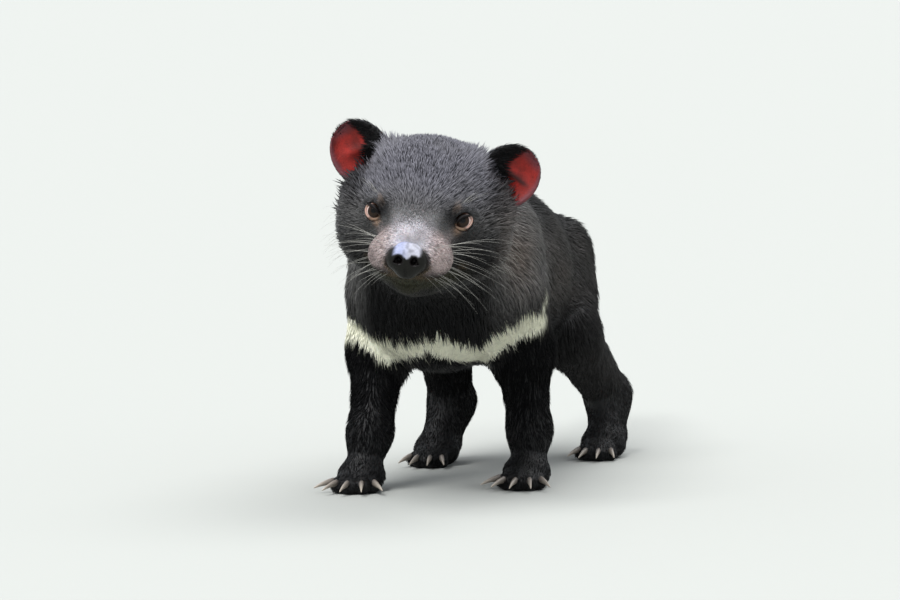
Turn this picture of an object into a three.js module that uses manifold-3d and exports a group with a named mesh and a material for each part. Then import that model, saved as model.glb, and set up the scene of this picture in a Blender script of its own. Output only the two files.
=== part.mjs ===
// A Tasmanian devil standing on four feet and looking ahead, life size, as a still museum model.
// Millimetres, +Z up. The animal looks along -Y, and +X is its own left side. The soles are at Z = 0.
// The outside of these solids is the outside of the coat, out to the tips of the hairs.
// The whole body is one smooth field. Each named part is a piece of that one body, and neighbours
// are parted by thin cuts.
import * as THREE from "three";
import { mergeVertices } from "three/addons/utils/BufferGeometryUtils.js";
import Module from "manifold-3d";

const wasm = await Module();
wasm.setup();

// Driving dimensions
const CUT = 0.3; // gap between two neighbouring parts
const SHORTEST_EDGE = 0.06; // a shorter one left by a cut is closed up
const SHOULDER_Y = -94;
const HIP_Y = 90;
const BELLY_Z = 78; // only the legs are below this height
const ANKLE_Z = { fore: 30, hind: 33 }; // height of the cut between leg and foot
const PAW_AT = {
  fore_left: [60, -86],
  fore_right: [-50, -144],
  hind_left: [60, 120],
  hind_right: [-50, 34],
};
const TOE_RADIUS = 6.6;
const SOLE_DEPTH = 1.6; // how much of a rounded pad the ground flattens
const CLAW_LENGTH = { fore: 13, hind: 10 };
const CLAW_GAP = 1.6; // from a toe to the root of its claw
const EYE_RADIUS = 7.6;
const EAR_HEIGHT = 50;
const EAR_HALF_WIDTH = 23;

// Cell sizes of the grids that the surfaces are sampled on
const TRUNK_CELL = [22.5, 31, 22.5];
const NECK_CELL = [18, 18, 18];
const TAIL_CELL = { x: 10.5, y: { thick: 23, thin: 10 }, z: 10 };
const LEG_CELL = [15.5, 16, 18];
const FOOT_CELL = [6.4, 8, 7.4];
const HEAD_CELL = { fine: 8, side: 15, back: 19, top: 16 };

// Where the head is. Its own frame starts midway between the eyes, with -Y along the muzzle.
const HEAD_AT = [35, -262, 212];
const HEAD_YAW = 12;
const HEAD_PITCH = 8;
const HEAD_ROLL = 6;

const SIDES = { left: 1, right: -1 };
const radians = THREE.MathUtils.degToRad;
const { lerp, smoothstep } = THREE.MathUtils;

function turned([x, y, z]) {
  const angles = new THREE.Euler(radians(x), radians(y), radians(z), "ZYX");
  return new THREE.Matrix4().makeRotationFromEuler(angles);
}

const headMatrix = turned([HEAD_PITCH, HEAD_ROLL, HEAD_YAW]).setPosition(...HEAD_AT);

// Fields: each is a function of x, y, z that gives a rough distance to a surface, negative inside.

function placed(field, matrix) {
  const m = matrix.clone().invert().elements;
  return (x, y, z) =>
    field(
      m[0] * x + m[4] * y + m[8] * z + m[12],
      m[1] * x + m[5] * y + m[9] * z + m[13],
      m[2] * x + m[6] * y + m[10] * z + m[14],
    );
}

function egg(at, [rx, ry, rz], turn = [0, 0, 0]) {
  const plain = (x, y, z) => {
    const near = Math.hypot(x / rx, y / ry, z / rz);
    const slope = Math.hypot(x / rx ** 2, y / ry ** 2, z / rz ** 2);
    return slope < 1e-9 ? -Math.min(rx, ry, rz) : (near * (near - 1)) / slope;
  };
  return placed(plain, turned(turn).setPosition(...at));
}

// A straight limb with round ends, from a to b.
function limb(a, b, ra, rb) {
  const axis = [b[0] - a[0], b[1] - a[1], b[2] - a[2]];
  const longSquared = axis[0] ** 2 + axis[1] ** 2 + axis[2] ** 2;
  return (x, y, z) => {
    const [dx, dy, dz] = [x - a[0], y - a[1], z - a[2]];
    const along = (dx * axis[0] + dy * axis[1] + dz * axis[2]) / longSquared;
    const t = Math.min(1, Math.max(0, along));
    const aside = Math.hypot(dx - t * axis[0], dy - t * axis[1], dz - t * axis[2]);
    return aside - lerp(ra, rb, t);
  };
}

// Several fields as one, with fillets about k wide where they meet.
function melt(k, fields) {
  return (x, y, z) => {
    let d = fields[0](x, y, z);
    for (let i = 1; i < fields.length; i++) {
      const e = fields[i](x, y, z);
      const h = Math.max(k - Math.abs(d - e), 0) / k;
      d = Math.min(d, e) - (h * h * k) / 4;
    }
    return d;
  };
}

// A field with another pressed out of it, with a rim about k wide.
function hollowed(k, field, tool) {
  return (x, y, z) => {
    const [d, e] = [field(x, y, z), -tool(x, y, z)];
    const h = Math.max(k - Math.abs(d - e), 0) / k;
    return Math.max(d, e) + (h * h * k) / 4;
  };
}

// A bent limb: round beads [x, y, z, radius] joined in a row.
function chain(beads) {
  const links = beads.slice(1).map((b, i) => {
    const a = beads[i];
    return limb(a.slice(0, 3), b.slice(0, 3), a[3], b[3]);
  });
  return melt(6, links);
}

// Trunk, neck and tail

const trunkField = melt(30, [
  egg([0, -120, 150], [60, 52, 64]), // breast
  egg([0, -64, 158], [64, 72, 75]), // ribs
  egg([0, 18, 151], [62, 80, 73]), // belly
  egg([0, 84, 142], [50, 60, 61]), // rump
]);

const neckField = chain([
  [0, -84, 178, 54],
  [7, -140, 186, 57],
  [21, -196, 203, 52],
]);

const tailField = chain([
  [0, 110, 152, 31],
  [-1, 158, 151, 27],
  [-6, 216, 144, 23],
  [-15, 276, 132, 18],
  [-26, 330, 121, 12],
  [-36, 376, 113, 6],
]);

// Legs. A paw's place on the ground sets where the rest of its leg is.

function foreLeg(side, [x, y]) {
  const reach = y - SHOULDER_Y;
  const elbow = [side * 52, SHOULDER_Y + 18 + 0.4 * reach, 101];
  const wrist = [x - side * 2, y + 14, 42];
  return melt(12, [
    egg([side * 44, SHOULDER_Y, 160], [29, 42, 58], [0, side * 6, 0]),
    limb([side * 49, SHOULDER_Y, 143], elbow, 30, 26),
    limb(elbow, wrist, 24, 16),
    limb(wrist, [x, y + 5, 17], 16, 13.5),
  ]);
}

function hindLeg(side, [x, y]) {
  const reach = y - HIP_Y;
  const knee = [side * 45, HIP_Y - 30 + 0.5 * reach, 101];
  const hock = [x - side * 4, y + 27, 48];
  return melt(12, [
    egg([side * 31, HIP_Y, 137], [27, 48, 54], [-14, side * 8, 0]),
    limb([side * 35, HIP_Y, 124], knee, 29, 25),
    limb(knee, hock, 25, 18),
    limb(hock, [x, y + 2, 17], 16, 14),
  ]);
}

// Paws. A toe starts in the palm, and the toes run from the inner side of the foot outwards.
// Spread is a toe's angle from straight ahead, in degrees.

const TOES = {
  fore: [
    { spread: -42, reach: 19 },
    { spread: -19, reach: 24 },
    { spread: 1, reach: 26 },
    { spread: 21, reach: 24 },
    { spread: 43, reach: 19 },
  ],
  hind: [
    { spread: -26, reach: 24 },
    { spread: -9, reach: 28 },
    { spread: 9, reach: 28 },
    { spread: 28, reach: 23 },
  ],
};

function toes(pair, side, [x, y]) {
  return TOES[pair].map(({ spread, reach }) => {
    const angle = radians(spread) * side;
    const ahead = [Math.sin(angle), -Math.cos(angle)];
    const start = reach / 4;
    return {
      ahead,
      root: [x + ahead[0] * start, y + ahead[1] * start, 12],
      tip: [x + ahead[0] * reach, y + ahead[1] * reach, TOE_RADIUS - SOLE_DEPTH],
    };
  });
}

function pawField(pair, side, [x, y]) {
  const heel = pair === "fore" ? [x, y + 6, 12] : [x, y + 24, 14];
  const palm = melt(10, [egg([x, y, 11], [18, 15, 13]), limb([x, y, 11], heel, 12, 12)]);
  const digits = toes(pair, side, [x, y]).map((toe) =>
    limb(toe.root, toe.tip, TOE_RADIUS + 1, TOE_RADIUS),
  );
  return melt(3, [palm, ...digits]);
}

// Head, in its own frame

const mirrored = (make) => Object.values(SIDES).map(make);

const skullField = melt(16, [
  egg([0, 42, 4], [50, 54, 46]), // crown
  egg([0, 2, 2], [33, 36, 27]), // brow
  ...mirrored((s) => egg([s * 37, 32, -16], [27, 40, 34])), // cheeks
  egg([0, 26, -34], [38, 48, 28]), // throat
]);

const muzzleField = melt(9, [
  limb([0, 0, -10], [0, -38, -19], 28, 20),
  egg([0, -26, -3], [16, 34, 15]), // bridge
  ...mirrored((s) => egg([s * 14, -38, -21], [16, 20, 15])), // whisker pads
  limb([0, 6, -38], [0, -38, -38], 18, 10), // chin
]);

const eyeCorners = melt(
  1,
  mirrored((s) => egg([s * 26, -27, 3], [6, 8, 7])),
);

const headField = placed(hollowed(8, melt(12, [skullField, muzzleField]), eyeCorners), headMatrix);

// The body as a whole

const legFields = Object.entries(PAW_AT).map(([name, at]) => {
  const [pair, side] = name.split("_");
  return (pair === "fore" ? foreLeg : hindLeg)(SIDES[side], at);
});
const torsoField = melt(26, [trunkField, neckField, tailField]);
const bodyField = melt(20, [torsoField, headField, ...legFields]);

// Meshing. The field is sampled on a grid, and each cell that the surface crosses gets one vertex.

// Grid lines from low to high. A cell's size is a number, or a function of where it starts.
function ticks(low, high, cell) {
  const lines = [low];
  while (lines.at(-1) < high) lines.push(lines.at(-1) + (cell.call ? cell(lines.at(-1)) : cell));
  const fit = (high - low) / (lines.at(-1) - low);
  return lines.map((v) => low + (v - low) * fit);
}

const CORNERS = [0, 1, 2, 3, 4, 5, 6, 7].map((c) => [c & 1, (c >> 1) & 1, c >> 2]);
const EDGES = CORNERS.flatMap((_, a) =>
  [1, 2, 4].filter((bit) => !(a & bit)).map((bit) => [a, a | bit]),
);

function netGeometry(field, [low, high], cell) {
  const lines = low.map((v, x) => ticks(v, high[x], cell[x]));
  const count = lines.map((l) => l.length);
  const at = (i, j, k) => i + count[0] * (j + count[1] * k);
  const walk = (less, visit) => {
    const [ni, nj, nk] = count.map((n) => n - less);
    for (let k = 0; k < nk; k++)
      for (let j = 0; j < nj; j++) for (let i = 0; i < ni; i++) visit(i, j, k);
  };

  // The net closes at the edge of the grid, because the outermost samples count as outside.
  const values = new Float64Array(count[0] * count[1] * count[2]);
  walk(0, (...cellAt) => {
    const d = field(...cellAt.map((c, x) => lines[x][c]));
    const rim = cellAt.some((c, x) => c === 0 || c === count[x] - 1);
    values[at(...cellAt)] = rim ? Math.max(d, 2) : d;
  });

  const positions = [];
  const vertexOf = new Map();
  walk(1, (...cellAt) => {
    const [i, j, k] = cellAt;
    const d = CORNERS.map(([a, b, c]) => values[at(i + a, j + b, k + c)]);
    const crossed = EDGES.filter(([a, b]) => d[a] < 0 !== d[b] < 0);
    if (!crossed.length) return;
    vertexOf.set(at(i, j, k), positions.length / 3);
    cellAt.forEach((c, x) => {
      let sum = 0;
      for (const [a, b] of crossed) sum += lerp(CORNERS[a][x], CORNERS[b][x], d[a] / (d[a] - d[b]));
      positions.push(lerp(lines[x][c], lines[x][c + 1], sum / crossed.length));
    });
  });

  const index = [];
  const place = (v) => new THREE.Vector3().fromArray(positions, v * 3);
  const quad = (a, b, c, d) => {
    const shorter = place(a).distanceTo(place(c)) < place(b).distanceTo(place(d));
    index.push(...(shorter ? [a, b, c, a, c, d] : [a, b, d, b, c, d]));
  };
  const ways = [[1, 0, 0], [0, 1, 0], [0, 0, 1]];
  walk(1, (i, j, k) => {
    for (let x = 0; x < 3; x++) {
      const [next, u, v] = [ways[x], ways[(x + 1) % 3], ways[(x + 2) % 3]];
      const inside = values[at(i, j, k)] < 0;
      if (inside === values[at(i + next[0], j + next[1], k + next[2])] < 0) continue;
      const around = [[0, 0], [1, 0], [1, 1], [0, 1]].map(([p, q]) => {
        const back = [0, 1, 2].map((w) => p * u[w] + q * v[w]);
        return vertexOf.get(at(i - back[0], j - back[1], k - back[2]));
      });
      quad(...(inside ? around : around.reverse()));
    }
  });

  const geometry = new THREE.BufferGeometry();
  geometry.setAttribute("position", new THREE.Float32BufferAttribute(positions, 3));
  geometry.setIndex(index);
  settle(geometry, field, [low, high]);
  return geometry;
}

// Moves each vertex that is well inside the grid onto the field's own surface.
function settle(geometry, field, [low, high]) {
  const p = geometry.getAttribute("position");
  const [edge, most, nudge] = [5, 1.5, 0.2];
  for (let round = 0; round < 2; round++)
    for (let i = 0; i < p.count; i++) {
      const c = [p.getX(i), p.getY(i), p.getZ(i)];
      if (c.some((v, x) => v < low[x] + edge || v > high[x] - edge)) continue;
      const slope = c.map((_, x) => {
        const [more, less] = [[...c], [...c]];
        more[x] += nudge;
        less[x] -= nudge;
        return (field(...more) - field(...less)) / (2 * nudge);
      });
      const size = slope.reduce((sum, v) => sum + v * v, 0);
      if (size < 0.1) continue;
      const move = Math.max(-most, Math.min(most, field(...c) / size));
      p.setXYZ(i, ...c.map((v, x) => v - slope[x] * move));
    }
}

// Solids for joining and cutting

function solid(geometry, matrix = new THREE.Matrix4()) {
  const bare = new THREE.BufferGeometry();
  bare.setAttribute("position", geometry.getAttribute("position").clone());
  bare.setIndex(geometry.index);
  const merged = mergeVertices(bare.applyMatrix4(matrix), 1e-3);
  const mesh = new wasm.Mesh({
    numProp: 3,
    vertProperties: new Float32Array(merged.attributes.position.array),
    triVerts: new Uint32Array(merged.index.array),
  });
  return new wasm.Manifold(mesh);
}

// The mesh of a cut solid. The two ends of each edge too short to matter become one vertex.
function geometryOf(body) {
  const { vertProperties, triVerts, numProp, numVert } = body.getMesh();
  const points = Array.from({ length: numVert }, (_, v) =>
    new THREE.Vector3().fromArray(vertProperties, v * numProp),
  );
  const home = points.map((_, v) => v);
  const homeOf = (v) => {
    while (home[v] !== v) v = home[v];
    return v;
  };
  const faces = [];
  for (let i = 0; i < triVerts.length; i += 3) faces.push([...triVerts.subarray(i, i + 3)]);
  for (const face of faces)
    face.forEach((v, k) => {
      const next = face[(k + 1) % 3];
      if (points[v].distanceTo(points[next]) < SHORTEST_EDGE) home[homeOf(v)] = homeOf(next);
    });
  const kept = faces.map((face) => face.map(homeOf)).filter((face) => new Set(face).size === 3);
  const geometry = new THREE.BufferGeometry().setFromPoints(points);
  geometry.setIndex(kept.flat());
  geometry.computeVertexNormals();
  return geometry;
}

const HALF_SPACE = 900; // side of the blocks that stand for half of space

// All that lies beyond the plane through a point, on the side that the normal points to.
function beyond({ at, normal }, by = 0) {
  const n = new THREE.Vector3(...normal).normalize();
  const centre = new THREE.Vector3(...at).addScaledVector(n, HALF_SPACE / 2 + by);
  const turn = new THREE.Quaternion().setFromUnitVectors(new THREE.Vector3(0, 0, 1), n);
  const place = new THREE.Matrix4().compose(centre, turn, new THREE.Vector3(1, 1, 1));
  return solid(new THREE.BoxGeometry(HALF_SPACE, HALF_SPACE, HALF_SPACE), place);
}

function ball(at, radii, grow, [around, over], matrix = new THREE.Matrix4()) {
  const place = matrix
    .clone()
    .multiply(new THREE.Matrix4().makeTranslation(...at))
    .multiply(new THREE.Matrix4().makeScale(...radii.map((r) => r + grow)));
  return solid(new THREE.SphereGeometry(1, around, over), place);
}

function box(low, high, grow) {
  const size = low.map((v, i) => high[i] - v + 2 * grow);
  const middle = low.map((v, i) => (v + high[i]) / 2);
  return solid(new THREE.BoxGeometry(...size), new THREE.Matrix4().makeTranslation(...middle));
}

const part = (field, bounds, cell) => solid(netGeometry(field, bounds, cell));

// The largest body of a cut piece, because a cut can leave crumbs where it grazes the surface.
function largest(body) {
  return body.decompose().reduce((a, b) => (b.volume() > a.volume() ? b : a));
}

// A mesh whose faces point in is turned round.
function outward(geometry) {
  if (solid(geometry).volume() > 0) return geometry;
  const index = geometry.index.array;
  for (let i = 0; i < index.length; i += 3)
    [index[i + 1], index[i + 2]] = [index[i + 2], index[i + 1]];
  return geometry;
}

// A closed tube skin over rings of points, each ring with the same number of points.
function ringGeometry(rings, capStart, capEnd) {
  const around = rings[0].length;
  const last = (rings.length - 1) * around;
  const index = [];
  for (let i = 0; i < rings.length - 1; i++)
    for (let k = 0; k < around; k++) {
      const [a, b] = [i * around + k, i * around + ((k + 1) % around)];
      index.push(a, a + around, b, b, a + around, b + around);
    }
  index.push(...capStart);
  index.push(...capEnd.map((v) => v + last));
  const geometry = new THREE.BufferGeometry();
  geometry.setAttribute("position", new THREE.Float32BufferAttribute(rings.flat(2), 3));
  geometry.setIndex(index);
  return outward(geometry);
}

// Parting planes

const HEAD_BACK = 76; // from the eyes back to the cut between head and neck
const fromHead = (p) => new THREE.Vector3(...p).applyMatrix4(headMatrix).toArray();
const fromHeadWay = (p) => new THREE.Vector3(...p).transformDirection(headMatrix).toArray();
const headPlane = (at, normal) => ({ at: fromHead(at), normal: fromHeadWay(normal) });
const levelPlane = (z, up) => ({ at: [0, 0, z], normal: [0, 0, up] });

const NECK_TOP = headPlane([0, HEAD_BACK, 0], [0, 1, 0]);
const NECK_BASE = { at: [0, -134, 176], normal: [0.05, -1, 0.3] };
const TAIL_BASE = { at: [0, 156, 150], normal: [0, 1, -0.1] };
const MOUTH_LINE = headPlane([0, -30, -35], [0, 0.06, -1]);
const MOUTH_CORNER = headPlane([0, -4, -35], [0, -1, 0.25]);

// The shape that parts a leg from the trunk: a round-topped column, with all that is below the belly.
const HAUNCH = {
  fore: { at: [62, SHOULDER_Y + 2, 140], radii: [36, 44, 54] },
  hind: { at: [54, HIP_Y, 130], radii: [36, 52, 58] },
};

function legBounds(pair, side, [x, y]) {
  const { at, radii } = HAUNCH[pair];
  const across = [x - 44, x + 44, side * (at[0] + radii[0] + 4), side * (at[0] - radii[0] - 4)];
  const along = [y - 60, y + 66, at[1] - radii[1] - 4, at[1] + radii[1] + 4];
  return [
    [Math.min(...across), Math.min(...along), 14],
    [Math.max(...across), Math.max(...along), at[2] + radii[2] + 8],
  ];
}

function haunch(pair, side, paw, grow) {
  const { at, radii } = HAUNCH[pair];
  const [low, high] = legBounds(pair, side, paw);
  const sides = 16;
  const middle = [side * at[0], at[1], at[2]];
  const foot = BELLY_Z - 4;
  const column = new THREE.CylinderGeometry(1, 1, 1, sides)
    .rotateX(Math.PI / 2)
    .scale(radii[0] + grow, radii[1] + grow, at[2] - foot)
    .translate(middle[0], middle[1], (at[2] + foot) / 2);
  return ball(middle, radii, grow, [sides, sides / 2])
    .add(solid(column))
    .add(box([low[0], low[1], -20], [high[0], high[1], BELLY_Z], grow));
}

// The named parts

const root = new THREE.Group();
const FINISHES = {
  coat: { color: 0x1c1a1b, roughness: 0.75, metalness: 0 },
  nose: { color: 0x15161a, roughness: 0.35, metalness: 0 },
  ear: { color: 0x8c2a22, roughness: 0.6, metalness: 0 },
  eye: { color: 0x2a1a12, roughness: 0.08, metalness: 0 },
  claw: { color: 0x8d8378, roughness: 0.5, metalness: 0 },
};

function show(name, body, finish) {
  const mesh = new THREE.Mesh(geometryOf(body), new THREE.MeshStandardMaterial(FINISHES[finish]));
  mesh.name = name;
  root.add(mesh);
}

function addTrunk() {
  let trunk = part(bodyField, [[-100, -190, 60], [100, 200, 262]], TRUNK_CELL)
    .subtract(beyond(NECK_BASE, -CUT / 2))
    .subtract(beyond(TAIL_BASE, -CUT / 2));
  for (const [name, paw] of Object.entries(PAW_AT)) {
    const [pair, side] = name.split("_");
    trunk = trunk.subtract(haunch(pair, SIDES[side], paw, 0));
  }
  show("trunk", largest(trunk), "coat");
}

function addNeck() {
  const neck = part(bodyField, [[-90, -262, 90], [110, -96, 282]], NECK_CELL)
    .intersect(beyond(NECK_BASE, CUT / 2))
    .subtract(beyond(headPlane([0, HEAD_BACK, 0], [0, -1, 0]), -CUT / 2));
  show("neck", largest(neck), "coat");
}

function addTail() {
  const { x, y: along, z } = TAIL_CELL;
  const finerAtTip = (y) => lerp(along.thick, along.thin, smoothstep(y, 300, 370));
  const tail = part(bodyField, [[-70, 138, 90], [50, 402, 220]], [x, finerAtTip, z]);
  show("tail", largest(tail.intersect(beyond(TAIL_BASE, CUT / 2))), "coat");
}

// A claw curves down from just clear of the end of a toe.
function clawGeometry({ tip, ahead }, long) {
  const [rings, around] = [4, 4];
  const levels = Array.from({ length: rings }, (_, i) => {
    const t = i / (rings - 1);
    const forward = TOE_RADIUS + CLAW_GAP + long * t;
    const thick = lerp(2.7, 0.7, t ** 0.8);
    const drop = (0.35 * t + 0.7 * t * t) * (tip[2] - 1);
    return Array.from({ length: around }, (_, k) => {
      const a = ((k + 0.5) / around) * 2 * Math.PI;
      const aside = Math.cos(a) * thick * 0.75;
      return [
        tip[0] + ahead[0] * forward - ahead[1] * aside,
        tip[1] + ahead[1] * forward + ahead[0] * aside,
        tip[2] + 3 - drop + Math.sin(a) * thick * 1.1,
      ];
    });
  });
  const fan = (flip) =>
    Array.from({ length: around - 2 }, (_, k) => (flip ? [0, k + 2, k + 1] : [0, k + 1, k + 2]));
  return ringGeometry(levels, fan(false).flat(), fan(true).flat());
}

function addLeg(name, paw) {
  const [pair, sideName] = name.split("_");
  const side = SIDES[sideName];
  const ankle = ANKLE_Z[pair];
  const wholeLeg = melt(6, [bodyField, pawField(pair, side, paw)]);
  const leg = part(wholeLeg, legBounds(pair, side, paw), LEG_CELL)
    .intersect(haunch(pair, side, paw, -CUT))
    .intersect(beyond(levelPlane(ankle, 1), CUT / 2));
  show(`${pair}leg_${sideName}`, largest(leg), "coat");

  const low = [paw[0] - 36, paw[1] - 44, -8];
  const high = [paw[0] + 36, paw[1] + 58, ankle + 12];
  const foot = part(wholeLeg, [low, high], FOOT_CELL)
    .intersect(beyond(levelPlane(ankle, -1), CUT / 2))
    .intersect(beyond(levelPlane(0, 1)));
  show(`${pair}foot_${sideName}`, largest(foot), "coat");

  toes(pair, side, paw).forEach((toe, i) => {
    const claw = solid(clawGeometry(toe, CLAW_LENGTH[pair]));
    show(`claw_${pair}_${sideName}_${i + 1}`, claw, "claw");
  });
}

// Head. The lower jaw is parted along the mouth, and the nose and eyes sit in hollows of their own.

const EYE = { at: [30, -6, 0], radii: [EYE_RADIUS, EYE_RADIUS, EYE_RADIUS] };
const NOSE = { at: [0, -57, -18], radii: [11.5, 8, 11] };
const BALL_GRID = [12, 7];
const headBounds = [
  [HEAD_AT[0] - 92, HEAD_AT[1] - 78, HEAD_AT[2] - 86],
  [HEAD_AT[0] + 92, HEAD_AT[1] + 118, HEAD_AT[2] + 78],
];
// Finer about the muzzle, and coarser out at the cheeks and back at the nape.
const headCell = [
  (x) => lerp(HEAD_CELL.fine, HEAD_CELL.side, smoothstep(Math.abs(x - HEAD_AT[0]), 24, 54)),
  (y) => lerp(HEAD_CELL.fine, HEAD_CELL.back, smoothstep(y - HEAD_AT[1], -20, 45)),
  (z) => lerp(HEAD_CELL.fine, HEAD_CELL.top, smoothstep(z - HEAD_AT[2], 6, 45)),
];

function addHead() {
  const whole = part(bodyField, headBounds, headCell);
  const jawSpace = (by) => beyond(MOUTH_LINE, by).intersect(beyond(MOUTH_CORNER, by));
  let head = whole
    .subtract(beyond(NECK_TOP, -CUT / 2))
    .subtract(jawSpace(-CUT / 2))
    .subtract(ball(NOSE.at, NOSE.radii, CUT, BALL_GRID, headMatrix));
  for (const [name, side] of Object.entries(SIDES)) {
    const at = [side * EYE.at[0], EYE.at[1], EYE.at[2]];
    head = head.subtract(ball(at, EYE.radii, CUT, BALL_GRID, headMatrix));
    show(`eye_${name}`, ball(at, EYE.radii, 0, BALL_GRID, headMatrix), "eye");
  }
  show("head", largest(head), "coat");
  show("lower_jaw", largest(whole.intersect(jawSpace(CUT / 2))), "coat");
  show("nose", ball(NOSE.at, NOSE.radii, 0, BALL_GRID, headMatrix), "nose");
}

// Ears: a thin cup that opens forwards, with its root in the side of the head.

const EAR = {
  left: { at: [37, 50, 6], turn: [-6, 46, 8] },
  right: { at: [-36, 50, 11], turn: [-6, -44, -8] },
};

// A point of the ear: how far up, how far across from -1 to 1, and how far in from the back.
function earPoint(up, across, inward) {
  const widest = 0.5;
  const past = Math.max(0, (up - widest) / (1 - widest));
  const root = lerp(0.86, 1, smoothstep(up, 0, widest));
  const half = EAR_HALF_WIDTH * root * Math.sqrt(Math.max(0.004, 1 - past ** 2));
  const curl = lerp(1.35, 0.75, smoothstep(up, 0, 0.7));
  const bend = half / Math.sin(curl);
  return [
    (bend - inward) * Math.sin(curl * across),
    (bend - inward) * Math.cos(curl * across) - bend * Math.cos(curl),
    up * EAR_HEIGHT,
  ];
}

function earGeometry() {
  const [levels, columns] = [7, 7];
  const across = Array.from({ length: columns + 1 }, (_, j) => (2 * j) / columns - 1);
  const rings = Array.from({ length: levels + 1 }, (_, i) => {
    const up = i / levels;
    const thick = lerp(3.4, 1.9, up);
    const back = across.map((a) => earPoint(up, a, 0));
    const front = across.map((a) => earPoint(up, a, thick));
    return [...back, ...front.reverse()];
  });
  const strip = [];
  for (let k = 0; k < columns; k++) {
    const far = rings[0].length - 1 - k;
    strip.push([k, k + 1, far], [k + 1, far - 1, far]);
  }
  const flipped = strip.map(([a, b, c]) => [a, c, b]);
  return ringGeometry(rings, strip.flat(), flipped.flat());
}

function addEars() {
  const grown = part((x, y, z) => bodyField(x, y, z) - 1.2 * CUT, headBounds, headCell);
  for (const [name, { at, turn }] of Object.entries(EAR)) {
    const place = headMatrix
      .clone()
      .multiply(new THREE.Matrix4().makeTranslation(...at))
      .multiply(turned(turn));
    show(`ear_${name}`, largest(solid(earGeometry(), place).subtract(grown)), "ear");
  }
}

addTrunk();
addNeck();
addTail();
for (const [name, paw] of Object.entries(PAW_AT)) addLeg(name, paw);
addHead();
addEars();

// The origin is on the ground, under the middle of the whole animal.
const bounds = new THREE.Box3().setFromObject(root, true);
root.position.set(-(bounds.min.x + bounds.max.x) / 2, -(bounds.min.y + bounds.max.y) / 2, 0);

export default root;
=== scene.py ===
import math
from concurrent.futures import ThreadPoolExecutor
from types import SimpleNamespace

import bpy
import numpy as np
from mathutils import Matrix, Vector


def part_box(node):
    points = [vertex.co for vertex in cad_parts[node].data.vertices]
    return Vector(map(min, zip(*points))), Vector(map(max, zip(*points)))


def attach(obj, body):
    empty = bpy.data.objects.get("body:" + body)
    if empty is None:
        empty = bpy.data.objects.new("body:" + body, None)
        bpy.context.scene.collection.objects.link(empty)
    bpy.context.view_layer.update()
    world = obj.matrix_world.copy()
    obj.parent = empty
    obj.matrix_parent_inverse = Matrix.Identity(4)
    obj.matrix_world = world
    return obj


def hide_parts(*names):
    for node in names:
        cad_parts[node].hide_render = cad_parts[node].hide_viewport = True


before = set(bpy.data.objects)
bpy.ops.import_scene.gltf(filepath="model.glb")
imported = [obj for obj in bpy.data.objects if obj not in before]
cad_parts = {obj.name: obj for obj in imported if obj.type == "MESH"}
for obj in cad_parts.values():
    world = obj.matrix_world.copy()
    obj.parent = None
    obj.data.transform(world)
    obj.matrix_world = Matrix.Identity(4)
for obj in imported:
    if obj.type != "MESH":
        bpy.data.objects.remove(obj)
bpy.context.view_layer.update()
rng = np.random.default_rng(7)

# The body's driving dimensions, the same as the solids'
SHOULDER_Y = -94
HIP_Y = 90
SIDES = {"left": 1, "right": -1}
PAW_AT = {
    "fore_left": (60, -86),
    "fore_right": (-50, -144),
    "hind_left": (60, 120),
    "hind_right": (-50, 34),
}
TOE_RADIUS = 6.6
SOLE_DEPTH = 1.6
TOES = {
    "fore": [(-42, 19), (-19, 24), (1, 26), (21, 24), (43, 19)],
    "hind": [(-26, 24), (-9, 28), (9, 28), (28, 23)],
}
CLAW_LENGTH = {"fore": 13, "hind": 10}
CLAW_GAP = 1.6
EYE_RADIUS = 7.6
EYE_AT = (30, -6, 0)
NOSE_AT = (0, -57, -18)
EAR_HEIGHT = 50
EAR_HALF_WIDTH = 23
EAR = {
    "left": {"at": (37, 50, 6), "turn": (-6, 46, 8)},
    "right": {"at": (-36, 50, 11), "turn": (-6, -44, -8)},
}
HEAD_AT = np.array([35.0, -262.0, 212.0])
HEAD_YAW, HEAD_PITCH, HEAD_ROLL = 12, 8, 6

# The coat on each part of the body: how deep the skin lies under its tips, and its tufts' length,
# their lift from the skin in radians, and the distance between their roots
DEPTH = SimpleNamespace(body=5.5, head=4.2, cheek=5, face=0.9, foot=1.2, leg=3.4, tail=6.5, tail_end=3)
LENGTH = SimpleNamespace(
    body=17, band=8, head=10.5, more_by_ears=4, jowl=15, cheek=20, muzzle=2.8, face=5, chin=5.5,
    ear_back=3.6, ear_edge=6.5, leg=11, ankle=4.5, foot=4, tail=22, tail_end=16,
)
LIFT = SimpleNamespace(
    body=0.34, band=0.30, head=0.66, crown=1.0, cheek=0.62, more_at_temple=0.7, face=0.45,
    ear_back=0.2, ear_edge=0.5, leg=0.36, tail=0.32, upright=1.3,
)
GAP = SimpleNamespace(body=1.47, band=1.1, head=1.07, face=0.88, foot=1.17, leg=1.38, tail=1.5)


# Turns, and the head's own frame

def turned(x, y, z):
    """The rotation about X, then Y, then Z, in degrees."""
    x, y, z = (math.radians(v) for v in (x, y, z))
    return np.array(Matrix.Rotation(z, 3, "Z") @ Matrix.Rotation(y, 3, "Y") @ Matrix.Rotation(x, 3, "X"))


HEAD_TURN = turned(HEAD_PITCH, HEAD_ROLL, HEAD_YAW)


def to_head(p):
    return (p - HEAD_AT) @ HEAD_TURN


def from_head(q):
    return np.asarray(q, float) @ HEAD_TURN.T + HEAD_AT


# The solids sit in the part's frame. The eyes' balls show how far that is from the fields' frame.
eye_middles = [sum(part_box(f"eye_{side}"), Vector()) / 2 for side in SIDES]
middle_of_eyes = np.array(sum(eye_middles, Vector()) / 2) * 1000
SHIFT = middle_of_eyes - from_head((0, EYE_AT[1], EYE_AT[2]))


def metres(p):
    return (np.asarray(p) + SHIFT) / 1000


# Small helpers on arrays

def unit(v):
    return v / np.maximum(np.linalg.norm(v, axis=-1, keepdims=True), 1e-9)


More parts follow.
